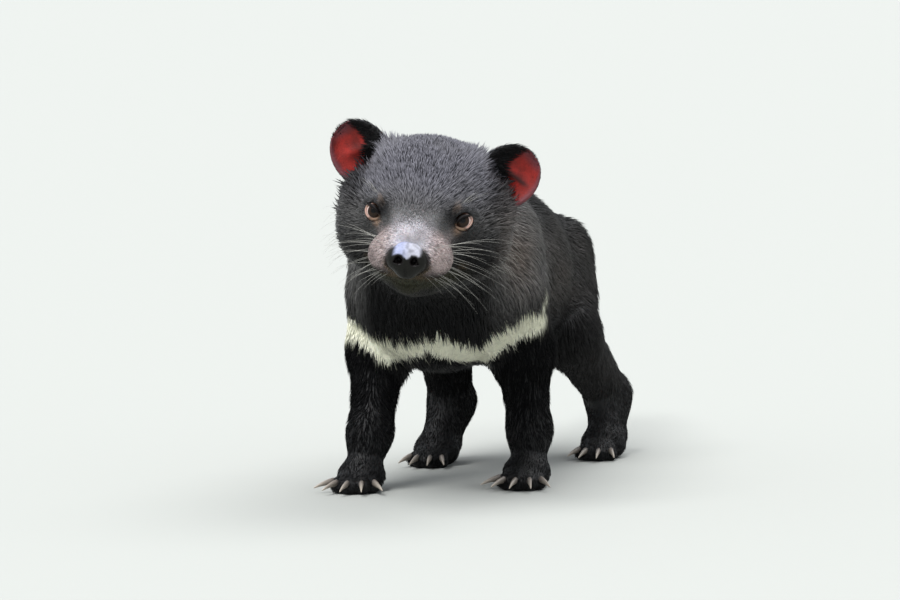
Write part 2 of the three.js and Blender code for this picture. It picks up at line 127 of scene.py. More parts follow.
def smoothstep(v, low, high):
    t = np.clip((v - low) / (high - low), 0, 1)
    return t * t * (3 - 2 * t)


def lerp(a, b, t):
    return a + (b - a) * t


def layered(value, *layers):
    """A value with others laid over it, each as far as its own mask from 0 to 1."""
    for other, mask in layers:
        value = lerp(value, other, mask)
    return value


def bell(v, middle, width):
    return np.exp(-(((v - middle) / width) ** 2))


# Numbers that scramble a cell's place into a value that looks random
HASH_PRIMES = np.array([73856093, 19349663, 83492791])
HASH_FACTOR = 1274126177


def noise(p, size, seed=0):
    """Smooth noise from -1 to 1 whose bumps are about as wide as size."""
    q = p / size + 1000 + 17.3 * seed
    cell = np.floor(q).astype(np.int64)
    t = q - cell
    t = t * t * (3 - 2 * t)
    total = np.zeros(len(p))
    for corner in range(8):
        step = np.array([corner & 1, (corner >> 1) & 1, corner >> 2])
        key = (cell + step) @ HASH_PRIMES
        key = (key ^ (key >> 13)) * HASH_FACTOR
        value = ((key >> 7) & 0xFFFF) / 32767.5 - 1
        weight = np.prod(np.where(step == 1, t, 1 - t), axis=1)
        total += weight * value
    return total


# Fields: each gives a rough distance to a surface for an array of points, negative inside

def egg(at, radii, turn=(0, 0, 0)):
    at, radii, rotation = np.array(at, float), np.array(radii, float), turned(*turn)

    def field(p):
        q = (p - at) @ rotation
        near = np.linalg.norm(q / radii, axis=1)
        slope = np.linalg.norm(q / radii**2, axis=1)
        return near * (near - 1) / np.maximum(slope, 1e-6)

    return field


def limb(a, b, ra, rb):
    """A rod with round ends from a to b, tapering from one radius to the other."""
    a, b = np.array(a, float), np.array(b, float)
    axis = b - a

    def field(p):
        t = np.clip((p - a) @ axis / (axis @ axis), 0, 1)
        return np.linalg.norm(p - a - t[:, None] * axis, axis=1) - lerp(ra, rb, t)

    return field


def soft_min(k, d, e):
    """The lesser of two distances, blended where they are within k of each other."""
    h = np.maximum(k - np.abs(d - e), 0) / k
    return np.minimum(d, e) - h * h * k / 4


def soft_max(k, d, e):
    return -soft_min(k, -d, -e)


def melt(k, fields):
    def field(p):
        d = fields[0](p)
        for other in fields[1:]:
            d = soft_min(k, d, other(p))
        return d

    return field


def hollowed(k, field, tool):
    return lambda p: soft_max(k, field(p), -tool(p))


def chain(beads):
    links = [limb(a[:3], b[:3], a[3], b[3]) for a, b in zip(beads, beads[1:])]
    return melt(0.5, links)


# The body's outline, out to the tips of the coat

trunk_field = melt(30, [
    egg((0, -120, 150), (60, 52, 64)),
    egg((0, -64, 158), (64, 72, 75)),
    egg((0, 18, 151), (62, 80, 73)),
    egg((0, 84, 142), (50, 60, 61)),
])
neck_field = chain([(0, -84, 178, 54), (7, -140, 186, 57), (21, -196, 203, 52)])
TAIL_BEADS = [
    (0, 110, 152, 31),
    (-1, 158, 151, 27),
    (-6, 216, 144, 23),
    (-15, 276, 132, 18),
    (-26, 330, 121, 12),
    (-36, 376, 113, 6),
]
tail_field = chain(TAIL_BEADS)


def fore_leg(side, paw):
    x, y = paw
    reach = y - SHOULDER_Y
    elbow = (side * 52, SHOULDER_Y + 18 + 0.4 * reach, 101)
    wrist = (x - side * 2, y + 14, 42)
    return melt(12, [
        egg((side * 44, SHOULDER_Y, 160), (29, 42, 58), (0, side * 6, 0)),
        limb((side * 49, SHOULDER_Y, 143), elbow, 30, 26),
        limb(elbow, wrist, 24, 16),
        limb(wrist, (x, y + 5, 17), 16, 13.5),
    ])


def hind_leg(side, paw):
    x, y = paw
    reach = y - HIP_Y
    knee = (side * 45, HIP_Y - 30 + 0.5 * reach, 101)
    hock = (x - side * 4, y + 27, 48)
    return melt(12, [
        egg((side * 31, HIP_Y, 137), (27, 48, 54), (-14, side * 8, 0)),
        limb((side * 35, HIP_Y, 124), knee, 29, 25),
        limb(knee, hock, 25, 18),
        limb(hock, (x, y + 2, 17), 16, 14),
        limb(hock, (x, y + 23, 15), 13, 12),
    ])


def named_paws():
    for name, paw in PAW_AT.items():
        pair, side = name.split("_")
        yield name, pair, SIDES[side], paw


leg_fields = {
    name: (fore_leg if pair == "fore" else hind_leg)(side, paw)
    for name, pair, side, paw in named_paws()
}


def mirrored(make):
    return [make(s) for s in SIDES.values()]


# Each field is worked out only where it can matter, and gives this distance elsewhere
FAR = 80
TORSO_FROM_Y = -300
HEAD_TO_Y = -118
LEGS_TO_Z = 240
PAWS_TO_Z = 42
BODY_BLEND = 20


def only_where(near, field, p):
    """A field worked out only for some of the points, and far away for the others."""
    d = np.full(len(p), float(FAR))
    if near.any():
        d[near] = field(p[near])
    return d


skull_field = melt(16, [
    egg((0, 42, 4), (50, 54, 46)),
    egg((0, 2, 2), (33, 36, 27)),
    *mirrored(lambda s: egg((s * 37, 32, -16), (27, 40, 34))),
    egg((0, 26, -34), (38, 48, 28)),
])
muzzle_field = melt(9, [
    limb((0, 0, -10), (0, -38, -19), 28, 20),
    egg((0, -26, -3), (16, 34, 15)),
    *mirrored(lambda s: egg((s * 14, -38, -21), (16, 20, 15))),
    limb((0, 6, -38), (0, -38, -38), 18, 10),
])
eye_corners = melt(1, mirrored(lambda s: egg((s * 26, -27, 3), (6, 8, 7))))
head_field = hollowed(8, melt(12, [skull_field, muzzle_field]), eye_corners)
torso_field = melt(26, [trunk_field, neck_field, tail_field])


def outline(p, h):
    """The distance to the whole outline, and how much nearer the legs are than the rest."""
    torso = only_where(p[:, 1] > TORSO_FROM_Y, torso_field, p)
    head = only_where(p[:, 1] < HEAD_TO_Y, head_field, h)
    d = soft_min(BODY_BLEND, torso, head)
    rest = np.minimum(torso, head)
    nearest = np.full(len(p), float(FAR))
    for leg in leg_fields.values():
        away = only_where(p[:, 2] < LEGS_TO_Z, leg, p)
        d = soft_min(BODY_BLEND, d, away)
        nearest = np.minimum(nearest, away)
    return d, rest - nearest


# Paws

def toes(pair, side, paw):
    """Each toe's way ahead, root and tip. They run from the foot's inner side outwards."""
    for spread, reach in TOES[pair]:
        angle = math.radians(spread) * side
        ahead = np.array([math.sin(angle), -math.cos(angle)])
        root = (*(paw + ahead * reach / 4), 12)
        tip = (*(paw + ahead * reach), TOE_RADIUS - SOLE_DEPTH)
        yield ahead, root, tip


def paw_field(pair, side, paw):
    x, y = paw
    heel = (x, y + 6, 12) if pair == "fore" else (x, y + 24, 14)
    palm = melt(10, [egg((x, y, 11), (18, 15, 13)), limb((x, y, 11), heel, 12, 12)])
    digits = [limb(root, tip, TOE_RADIUS + 1, TOE_RADIUS) for _, root, tip in toes(pair, side, paw)]
    return melt(3, [palm, *digits])


paws_field = melt(3, [paw_field(pair, side, paw) for _, pair, side, paw in named_paws()])


# Where on the body a point is. Each gives 0 to 1.

def eye_middle(side):
    return np.array([side * EYE_AT[0], EYE_AT[1], EYE_AT[2]], float)


def in_head(p):
    return 1 - smoothstep(to_head(p)[:, 1], 62, 100)


def in_face(p):
    """1 on the muzzle and round the eyes, 0 on the forehead, the crown and the cheeks."""
    h = to_head(p)
    x, y, z = h.T
    ahead = 1 - smoothstep(y + 0.30 * np.abs(x), -6, 22)
    below_brow = 1 - smoothstep(z + 0.25 * y, -3, 9)
    away = [np.linalg.norm(h - eye_middle(side), axis=1) for side in SIDES.values()]
    by_eye = 1 - smoothstep(np.minimum(*away), 11, 16)
    return np.maximum(ahead * below_brow, by_eye) * in_head(p)


def in_temples(h):
    x, y, z = h.T
    return smoothstep(np.abs(x), 36, 47) * bell(z, 14, 22) * smoothstep(y, -4, 10)


def in_legs(p, lead=None):
    if lead is None:
        lead = evaluate(lambda part: outline(part, to_head(part))[1], p)
    return smoothstep(lead, -2, 16) * (1 - in_head(p))


def in_tail(p):
    return smoothstep(p[:, 1], 150, 190)


# The skin lies under the outline by the depth of the coat

def coat_depth(p, h, lead):
    cheek = smoothstep(np.abs(h[:, 0]), 26, 48) * smoothstep(h[:, 1], -4, 24) * in_head(p)
    leg = lerp(DEPTH.foot, DEPTH.leg, smoothstep(p[:, 2], 30, 80))
    tail = lerp(DEPTH.tail, DEPTH.tail_end, smoothstep(p[:, 1], 220, 370))
    return layered(
        DEPTH.body,
        (DEPTH.head, in_head(p)),
        (DEPTH.cheek, cheek),
        (DEPTH.face, in_face(p)),
        (leg, in_legs(p, lead)),
        (tail, in_tail(p)),
    )


def to_ear(h, side):
    return (h - np.array(EAR[side]["at"])) @ turned(*EAR[side]["turn"])


def ear_shape(e):
    """How far up and across a point of the ear is, and how far in from the back of the cup."""
    up = np.clip(e[:, 2] / EAR_HEIGHT, 0, 1)
    past = np.maximum(0, up - 0.5) / 0.5
    root = lerp(0.86, 1, smoothstep(up, 0, 0.5))
    half = EAR_HALF_WIDTH * root * np.sqrt(np.maximum(0.004, 1 - past**2))
    curl = lerp(1.35, 0.75, smoothstep(up, 0, 0.7))
    bend = half / np.sin(curl)
    back = e[:, 1] + bend * np.cos(curl)
    angle = np.arctan2(e[:, 0], back)
    return up, angle / curl, bend - np.hypot(e[:, 0], back), bend, curl


FOLD_UP = 0.56  # how far up the ear the fold inside it is
# How far across each ear the painted shade in its fold reaches
FOLD_SHADE_REACH = {"left": 0.9, "right": 0.2}
EAR_THICKNESS = (3.2, 1.9)  # at its root and its tip


def furred_ear(e, side):
    """Where the inside of the cup is furred: 1 along its inner edge, 0 on the bare part."""
    up = e[:, 2] / EAR_HEIGHT
    over = SIDES[side] * e[:, 0] / EAR_HALF_WIDTH
    edge = lerp(0.12, -0.34, smoothstep(up, FOLD_UP - 0.14, FOLD_UP + 0.06))
    return 1 - smoothstep(over, edge - 0.06, edge + 0.06)


def ear_thickness(up, across):
    fold = 2.4 * bell(up, FOLD_UP + 0.10 * across, 0.07) * bell(across, -0.1, 0.5)
    rim = 0.7 * smoothstep(np.abs(across), 0.75, 0.95)
    return lerp(*EAR_THICKNESS, up) + fold + rim


def ear_field(side):
    def field(h):
        e = to_ear(h, side)
        up, across, inward, bend, curl = ear_shape(e)
        thick = ear_thickness(up, across * SIDES[side])
        shell = np.maximum(-inward, inward - thick)
        edge = bend * curl * (np.abs(across) - 1)
        ends = np.maximum(e[:, 2] - EAR_HEIGHT, -e[:, 2] - 4)
        return soft_max(1.2, soft_max(1.6, shell, edge), ends)

    return field


ears_field = melt(0.5, [ear_field(side) for side in EAR])

# Eyes. Each opening has a frame of its own: across to its outer corner, up, and out.
EYE_OUTWARD = 27
EYE_UPWARD = 12
EYE_SLANT = 24
OPENING = (math.radians(48), math.radians(30))  # half its width and height, from the eye's middle
LID_BULGE = 1.6  # how far the skin round an eye stands over the eyeball
EYE_ROOM = 0.5
HOLLOW = np.array([8.6, 6.8, 9.5])  # half the size of the hollow before an eyeball
HOLLOW_OUT = np.array([0, 0, 9])


def eye_frame(side):
    """The eye's middle, and the ways across, up and out of its opening."""
    outward, upward = math.radians(EYE_OUTWARD), math.radians(EYE_UPWARD)
    out = unit(np.array([side * math.sin(outward), -math.cos(outward), math.sin(upward)]))
    level = unit(np.cross(out, (0, 0, 1)) * -side)
    above = np.cross(out, level) * side
    above *= np.sign(above[2])
    slant = math.radians(EYE_SLANT)
    across = math.cos(slant) * level + math.sin(slant) * above
    up = -math.sin(slant) * level + math.cos(slant) * above
    return eye_middle(side), np.stack([across, up, out])


def to_eye(h, side):
    middle, axes = eye_frame(side)
    return (h - middle) @ axes.T


def eye_opening_field(side):
    """The hollow in front of an eyeball that its lids line."""
    def field(h):
        near = np.linalg.norm((to_eye(h, side) - HOLLOW_OUT) / HOLLOW, axis=1)
        return (near - 1) * 6.5

    return field


def eye_ball_field(side, radius):
    return lambda h: np.linalg.norm(h - eye_middle(side), axis=1) - radius


# The line of the closed mouth, and the small folds of the face
mouth_groove = melt(2, [
    *mirrored(lambda s: limb((0, -57, -31), (s * 14, -50, -36), 1.0, 1.2)),
    *mirrored(lambda s: limb((s * 14, -50, -36), (s * 27, -26, -35), 1.2, 1.2)),
    *mirrored(lambda s: limb((s * 27, -26, -35), (s * 33, -6, -32), 1.2, 0.6)),
])
nose_socket = egg(NOSE_AT, (11.0, 7.6, 10.4))


def face_relief(h):
    """Rows of whisker roots, and wrinkles behind the nose."""
    pads = smoothstep(-h[:, 1], 18, 34) * smoothstep(np.abs(h[:, 0]), 6, 14)
    rows = np.sin(h[:, 2] * 1.5 + 0.12 * h[:, 1]) * np.sin(h[:, 1] * 1.3 + 0.4 * np.abs(h[:, 0]))
    return 0.14 * pads * rows


def skin_field(p):
    h = to_head(p)
    d, lead = outline(p, h)
    d = d + coat_depth(p, h, lead)
    d = soft_min(5, d, only_where(p[:, 2] < PAWS_TO_Z, paws_field, p) + 0.7)
    d = soft_min(7, d, only_where((h[:, 2] > -12) & (h[:, 1] > 20), ears_field, h))
    front = h[:, 1] < 24
    if front.any():
        q = h[front]
        face = d[front] - face_relief(q)
        for side in SIDES.values():
            face = soft_min(3, face, eye_ball_field(side, EYE_RADIUS + LID_BULGE)(q))
            face = soft_max(1.5, face, -eye_opening_field(side)(q))
            face = soft_max(0.8, face, -eye_ball_field(side, EYE_RADIUS + EYE_ROOM)(q))
        face = soft_max(1.6, face, -mouth_groove(q))
        face = soft_max(1.2, face, -(nose_socket(q) + 1))
        d[front] = face
    return soft_max(1.0, d, -p[:, 2])


# Meshing. The field is sampled on a grid, and each cell that the surface crosses gets one vertex.

def evaluate(field, p, chunk=24000):
    parts = [p[i : i + chunk] for i in range(0, len(p), chunk)]
    with ThreadPoolExecutor() as pool:
        return np.concatenate(list(pool.map(field, parts)))


def ticks(*stretches):
    """Grid lines over stretches (start, end, cell)."""
    runs = [np.linspace(a, b, max(2, round((b - a) / cell)), endpoint=False) for a, b, cell in stretches]
    return np.append(np.concatenate(runs), stretches[-1][1])


def sampled(field, lines, block=4):
    """The field on a grid, worked out in full only in the blocks near the surface."""
    picks = [np.unique(np.append(np.arange(0, len(l), block), len(l) - 1)) for l in lines]
    coarse_lines = [l[p] for l, p in zip(lines, picks)]
    grid = np.stack(np.meshgrid(*coarse_lines, indexing="ij"), -1)
    coarse = evaluate(field, grid.reshape(-1, 3)).reshape(grid.shape[:3])
    spans = np.meshgrid(*[np.diff(l) for l in coarse_lines], indexing="ij")
    reach = np.sqrt(sum(s**2 for s in spans))
    near = np.zeros(reach.shape, bool)
    for corner in range(8):
        part = coarse
        for axis in range(3):
            part = part.take(np.arange(part.shape[axis] - 1) + ((corner >> axis) & 1), axis)
        near |= np.abs(part) < 0.6 * reach + 1
    block_of = [
        np.minimum(np.searchsorted(p, np.arange(len(l)), side="right") - 1, len(p) - 2)
        for p, l in zip(picks, lines)
    ]
    values = coarse[np.ix_(*block_of)].copy()
    found = np.nonzero(near[np.ix_(*block_of)])
    points = np.column_stack([l[i] for l, i in zip(lines, found)])
    values[found] = evaluate(field, points)
    return values


def net(field, lines, settle=2):
    """The surface of a field: its vertices and its four-sided faces."""
    values = sampled(field, lines)
    inside = values < 0
    filled = np.zeros([n - 1 for n in values.shape], np.uint8)
    for corner in range(8):
        starts = [(corner >> axis) & 1 for axis in range(3)]
        filled += inside[tuple(slice(s, s + n - 1) for s, n in zip(starts, inside.shape))]
    cell = np.nonzero((filled > 0) & (filled < 8))
    number = np.full(filled.shape, -1, np.int64)
    number[cell] = np.arange(len(cell[0]))
    total = np.zeros((len(cell[0]), 3))
    hits = np.zeros(len(cell[0]))
    for start in range(8):
        for axis in range(3):
            if start >> axis & 1:
                continue
            end = start | (1 << axis)
            at = [tuple(cell[a] + ((c >> a) & 1) for a in range(3)) for c in (start, end)]
            low, high = values[at[0]], values[at[1]]
            crossed = (low < 0) != (high < 0)
            t = np.where(crossed, low / np.where(crossed, low - high, 1), 0)
            for a in range(3):
                place = lerp(lines[a][at[0][a]], lines[a][at[1][a]], t)
                total[:, a] += np.where(crossed, place, 0)
            hits += crossed
    vertices = total / hits[:, None]
    faces = []
    for axis in range(3):
        u, v = (axis + 1) % 3, (axis + 2) % 3
        lower = inside.take(np.arange(inside.shape[axis] - 1), axis)
        upper = inside.take(np.arange(1, inside.shape[axis]), axis)
        at = np.array(np.nonzero(lower != upper))
        within = [(at[a] > 0) & (at[a] < inside.shape[a] - 1) for a in (u, v)]
        at = at[:, within[0] & within[1]]
        around = []
        for back_u, back_v in ((1, 1), (0, 1), (0, 0), (1, 0)):
            here = at.copy()
            here[u] -= back_u
            here[v] -= back_v
            around.append(number[tuple(here)])
        quads = np.stack(around, 1)
        flip = ~lower[tuple(at)]
        quads[flip] = quads[flip][:, ::-1]
        faces.append(quads)
    for _ in range(settle):
        vertices, slope = settled(field, vertices, 0.7)
    return vertices, np.concatenate(faces), unit(slope)


def settled(field, p, most):
    """Moves points onto the surface, at most so far, and gives the field's slope there."""
    step = 0.3
    here = evaluate(field, p)
    slope = np.stack([(evaluate(field, p + step * axis) - here) / step for axis in np.eye(3)], 1)
    size = np.maximum((slope**2).sum(1), 0.2)
    return p - np.clip(here / size, -most, most)[:, None] * slope, slope


def add(name, data):
    made = bpy.data.objects.new(name, data)
    bpy.context.scene.collection.objects.link(made)
    return made


def piece(name, vertices, faces, material, colours, uv=None):
    """Makes an object that rides on the body. Faces all have the same number of corners."""
    corners = faces.shape[1]
    mesh = bpy.data.meshes.new(name)
    mesh.vertices.add(len(vertices))
    mesh.vertices.foreach_set("co", metres(vertices).astype(np.float32).ravel())
    mesh.loops.add(faces.size)
    mesh.loops.foreach_set("vertex_index", faces.astype(np.int32).ravel())
    mesh.polygons.add(len(faces))
    mesh.polygons.foreach_set("loop_start", np.arange(0, faces.size, corners, dtype=np.int32))
    mesh.polygons.foreach_set("loop_total", np.full(len(faces), corners, np.int32))
    mesh.polygons.foreach_set("use_smooth", np.full(len(faces), True))
    mesh.update(calc_edges=True)
    mesh.materials.append(material)
    tint = mesh.color_attributes.new(name="tint", type="FLOAT_COLOR", domain="POINT")
    rgba = np.column_stack([np.clip(colours, 0, 1), np.ones(len(vertices))])
    tint.data.foreach_set("color", rgba.astype(np.float32).ravel())
    if uv is not None:
        layer = mesh.uv_layers.new(name="OFBake")
        layer.data.foreach_set("uv", uv[faces.ravel()].astype(np.float32).ravel())
    made = add(name, mesh)
    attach(made, "root")
    return made


# Colours, the same for the skin and the coat on it

def rgb(*values):
    return np.array(values)


BLACK = rgb(0.0068, 0.0068, 0.0074)
# Painted sheen of sky light on the crown's black fur, a pale blue-grey
PAINTED_CROWN_SHEEN = rgb(0.150, 0.148, 0.172)
# Painted sheen of light on the black fur of the neck, shoulders, back, haunches and upper flanks
PAINTED_BACK_SHEEN = rgb(0.185, 0.180, 0.178)
# Cream white of the chest band, with a yellow-green tint of painted light bounced from grass
WHITE = rgb(0.93, 0.92, 0.76)
# Brown of the patches on the neck and cheeks; on the upper flank it is a painted brownish sheen
BROWN_AND_FLANK_SHEEN = rgb(0.185, 0.150, 0.132)
MUZZLE = rgb(0.450, 0.365, 0.355)
BRIDGE = rgb(0.620, 0.590, 0.640)
LIP = rgb(0.115, 0.082, 0.048)
CHIN = rgb(0.030, 0.029, 0.014)
EAR_RED = rgb(0.34, 0.018, 0.012)
EAR_RIM = rgb(0.12, 0.040, 0.050)
LID = rgb(0.56, 0.37, 0.31)
LASHES = rgb(0.006, 0.005, 0.005)
TAN = rgb(0.30, 0.20, 0.14)
EYE_DARK = rgb(0.06, 0.030, 0.020)
EYE_WHITE = rgb(0.66, 0.50, 0.45)
IRIS_BROWN = rgb(0.026, 0.013, 0.006)
IRIS_EDGE = rgb(0.012, 0.006, 0.004)
PUPIL_BLACK = rgb(0.002, 0.002, 0.002)
NOSE_BLACK = rgb(0.005, 0.005, 0.0035)
NOSTRIL = rgb(0.004, 0.003, 0.003)
# Painted gloss on the top of the nose pad: the sky's reflection in wet skin, bluer at one side and paler
# at the other
NOSE_PAINTED_GLOSS_BLUE = rgb(0.34, 0.37, 0.54)
NOSE_PAINTED_GLOSS_PALE = rgb(0.47, 0.47, 0.54)
CLAW_ROOT = rgb(0.10, 0.085, 0.075)
CLAW_TIP = rgb(0.42, 0.37, 0.31)
WHISKER = rgb(0.34, 0.33, 0.30)
# Painted shade: the skin under thick hair is darkened, as shade beneath the coat
SHADE_UNDER_COAT = 0.55  # how much darker the skin is under thick hair


def mix(colour, other, amount):
    return colour + (other - colour) * np.clip(amount, 0, 1)[:, None]


def painted(colour, *coats):
    """A colour at each point with others laid over it, each by its own amount there."""
    for other, amount in coats:
        colour = mix(colour, other, amount)
    return colour


# The chest band's edges as it shows: how far to the side, and how high
BAND_TOP = (
    (-62, 124), (-44, 115), (-12, 112), (14, 118), (38, 109),
    (47, 117), (56, 124), (68, 131), (78, 128),
)
BAND_FOOT = ((-60, 106), (-38, 89), (6, 103), (29, 87), (50, 103), (78, 121))
BAND_TOP_OVERHUNG = 5.5
BAND_FOOT_HANGING = 4.5
BAND_TO_Y = (-94, -84)


def chest_band(p):
    """The white band across the chest and the forelegs' tops, and the line up the left shoulder."""
    x, y, z = p.T
    top = np.interp(x, *zip(*BAND_TOP)) + BAND_TOP_OVERHUNG
    foot = np.interp(x, *zip(*BAND_FOOT)) + BAND_FOOT_HANGING
    ragged = noise(p, 8, 1) + 0.5 * noise(p, 2.5, 2)
    inside = np.minimum(top - z, z - foot) + ragged
    band = smoothstep(inside, -1.2, 1.2) * (1 - smoothstep(y, *BAND_TO_Y))
    height = smoothstep(z, 116, 124) * (1 - smoothstep(z, 146, 156))
    line = bell(y, -96, 2.5) * smoothstep(x, 66, 74) * height
    return np.maximum(band, 0.8 * line)


def coat_colour(p):
    h = to_head(p)
    x, y, z = h.T
    head = in_head(p)
    blotch = noise(p, 22, 3)
    wide = np.abs(p[:, 0])
    # Painted sheen on the top of the body, where light falls from above: it starts lower towards the
    # neck and fades towards the rump
    sheen_from = lerp(175, 112, smoothstep(p[:, 1], -190, -130))
    above = smoothstep(p[:, 2] - sheen_from, 0, 60) * lerp(0.95, 0.13, smoothstep(p[:, 1], -120, 30))
    neck = bell(p[:, 1], -135, 26) * smoothstep(p[:, 0], 45, 65) * bell(p[:, 2], 180, 26)
    # Upper flank: a brownish tint and a little grey, both painted sheen
    flank = bell(p[:, 1], 10, 70) * smoothstep(wide, 36, 62) * smoothstep(p[:, 2], 110, 150)
    # Painted sheen on the haunch
    haunch_sheen = bell(p[:, 1], 110, 50) * smoothstep(wide, 22, 50) * bell(p[:, 2], 100, 55)
    # Painted sheen on the top of the head
    crown = head * smoothstep(z + 0.15 * y, -2, 20) * (1 - smoothstep(y, 60, 95))
    cheek = head * bell(x, 48, 18) * bell(z, -18, 20) * smoothstep(y, 0, 24)
    colour = painted(
        np.tile(BLACK, (len(p), 1)),
        # painted sheen on the top of the body
        (PAINTED_BACK_SHEEN, above * (1 + 0.3 * blotch)),
        # brown patches on the neck, and painted brownish sheen on the upper flank
        (BROWN_AND_FLANK_SHEEN, (0.85 * neck + 0.34 * flank) * (0.6 + 0.7 * blotch)),
        # painted sheen on the haunches and upper flanks
        (PAINTED_BACK_SHEEN, 0.38 * haunch_sheen + 0.06 * flank),
        # painted sheen on the crown
        (PAINTED_CROWN_SHEEN, crown * (0.95 + 0.25 * blotch)),
        (BLACK, 0.9 * head * in_temples(h)),
        (BROWN_AND_FLANK_SHEEN, 0.85 * cheek * (0.75 + 0.5 * blotch)),
    )
    return mix(face_colour(h, in_face(p), colour), WHITE, chest_band(p))


def face_colour(h, face, colour):
    """Lays over the coat the muzzle, the surrounds of the eyes and nose, the lips and the chin, with
    painted shade along the chin's lower edge.
    """
    x, y, z = h.T
    mottle = 0.86 + 0.22 * noise(h, 4.5, 7) + 0.16 * noise(h, 1.6, 8)
    top = z + 0.22 * (y - EYE_AT[1])
    pads = (1 - smoothstep(y, -38, -18)) * smoothstep(z, -33, -24) * (1 - smoothstep(top, -15, -5))
    under_eyes = (1 - smoothstep(y, -30, -12)) * smoothstep(z, -24, -14) * (1 - smoothstep(z, -10, -2))
    middle = 1 - smoothstep(np.abs(x), 6, 20)
    bridge = middle * smoothstep(z, -24, -12) * (1 - smoothstep(top, -13, 3))
    colour = painted(
        colour,
        (MUZZLE, face * np.maximum(pads, 0.55 * under_eyes) * mottle),
        (BRIDGE, bridge * (1 - smoothstep(y, -34, -4)) * mottle),
    )
    for side in SIDES.values():
        across, up, out = to_eye(h, side).T  # across to the eye's outer corner
        round_eye = (1 - smoothstep(np.hypot(across / 1.25, up), 7.5, 12)) * (out > 0)
        below = 1 - smoothstep(up, -4, 1)
        corner = bell(across, -8.5, 3.2) * bell(up, -3.2, 3.0) * (out > 0)
        brow = bell(across, -8.5, 6.5) * bell(up, 8, 5.5) * (out > -2)
        spot = bell(across, -3, 3) * bell(up, 11, 2.5) * (out > -4)
        colour = painted(
            colour,
            (BLACK, 0.8 * round_eye * (1 - 0.5 * below)),
            (TAN, 0.9 * corner),
            (BLACK, 0.95 * brow),
            (TAN * 0.6, 0.55 * spot),
        )
    from_nose = nose_body(h)
    round_nose = (1 - smoothstep(from_nose, 1.5, 4.5)) * smoothstep(-z, 18, 26)
    nose_edge = (1 - smoothstep(from_nose, 0.8, 2.2)) * smoothstep(-z, 9, 14)
    lips = np.maximum(bell(mouth_groove(h), 0, 2.4), round_nose)
    under = face * (1 - smoothstep(z, -37, -32))
    return painted(
        colour,
        (LIP, lips * face),
        (BLACK, 0.85 * nose_edge),
        (CHIN, 0.95 * under),
        # painted shade: the lower edge of the chin fades to black
        (BLACK, 0.85 * under * (1 - smoothstep(z, -50, -42))),
    )


def ear_colour(h, colour):
    """Lays the bare red inside of each ear over the colours, with painted shade along the fold inside
    it.
    """
    for side in EAR:
        e = to_ear(h, side)
        up, across, inward, _, _ = ear_shape(e)
        across = across * SIDES[side]
        at_ear = (ear_field(side)(h) < 0.9) & (e[:, 2] > 3)
        mottle = 0.75 + 0.35 * noise(h, 5, 5) + 0.15 * noise(h, 1.7, 6)
        # Painted shade along the fold across the inside of the ear
        fold = bell(up, FOLD_UP + 0.10 * across, 0.05) * smoothstep(FOLD_SHADE_REACH[side] - across, 0, 0.4)
        edge = np.maximum(smoothstep(across, 0.74, 0.95), smoothstep(up, 0.80, 0.95))
        inner = painted(
            EAR_RED * mottle[:, None],
            (EAR_RIM, 0.8 * edge),
            (BLACK, np.maximum(0.85 * fold, furred_ear(e, side))),
        )
        colour = mix(colour, inner, smoothstep(inward, 0.9, 1.6) * at_ear)
    return colour


# Skin

SKIN_LINES = [
    ticks((-92, -40, 1.5), (-40, 106, 1.15)),
    ticks((-338, -172, 1.15), (-172, 166, 2.1), (166, 392, 3.2)),
    ticks((-4, 34, 1.3), (34, 132, 2.2), (132, 292, 1.15)),
]
FLESH = [
    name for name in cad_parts
    if name in ("trunk", "neck", "tail", "head", "lower_jaw") or name.startswith(("fore", "hind", "ear"))
]


def make_skin():
    vertices, faces, normals = net(skin_field, SKIN_LINES)
    # Painted shade under the coat, except on the face and the chest band
    shade_under_hair = np.maximum(lerp(SHADE_UNDER_COAT, 1, in_face(vertices)), chest_band(vertices))
    colours = ear_colour(to_head(vertices), coat_colour(vertices) * shade_under_hair[:, None])
    skin = piece("skin", vertices, faces, skin_material, colours)
    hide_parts(*FLESH)
    return vertices, faces, normals


# Coat. Each tuft is a thin three-sided spike that starts in the skin and bends down towards its tip.

def tail_way(p):
    beads = np.array(TAIL_BEADS, float)[:, :3]
    steps = unit(np.diff(beads, axis=0))
    middles = (beads[1:, 1] + beads[:-1, 1]) / 2
    return unit(np.column_stack([np.interp(p[:, 1], middles, step) for step in steps.T]))


def pressed(way, normals):
    """A way laid flat along the skin, and how far it pointed straight out of the skin."""
    outwards = (way * normals).sum(1)
    return unit(way - outwards[:, None] * normals), outwards


def coat_lay(p, normals):
    """The way the coat lies along the skin, and how far its way points straight out of the skin."""
    from_nose = unit(to_head(p) - np.array([0, -50, -8])) @ HEAD_TURN.T
    flank = np.abs(normals[:, 0])
    front = smoothstep(-normals[:, 1], 0.2, 0.8)
    body = np.column_stack([0.25 * normals[:, 0], 1 - front, -0.15 - 0.55 * flank - front])
    low = 1 - smoothstep(p[:, 2], 16, 40)
    legs = np.array([0, 0.30, -1.0]) + low[:, None] * np.array([0, -1.5, 0.2])
    way = layered(
        body,
        (legs, in_legs(p)[:, None]),
        (from_nose, in_head(p)[:, None]),
        (tail_way(p), in_tail(p)[:, None]),
    )
    swirl = np.column_stack([noise(p, 16, s) for s in (11, 12, 13)])
    fine = np.column_stack([noise(p, 5, s) for s in (14, 15, 16)])
    stray = rng.normal(0, 0.11, (len(p), 3))
    calm = (1 - 0.5 * in_face(p) - 0.6 * in_tail(p))[:, None]
    return pressed(unit(unit(way) + calm * (0.24 * swirl + 0.24 * fine + stray)), normals)


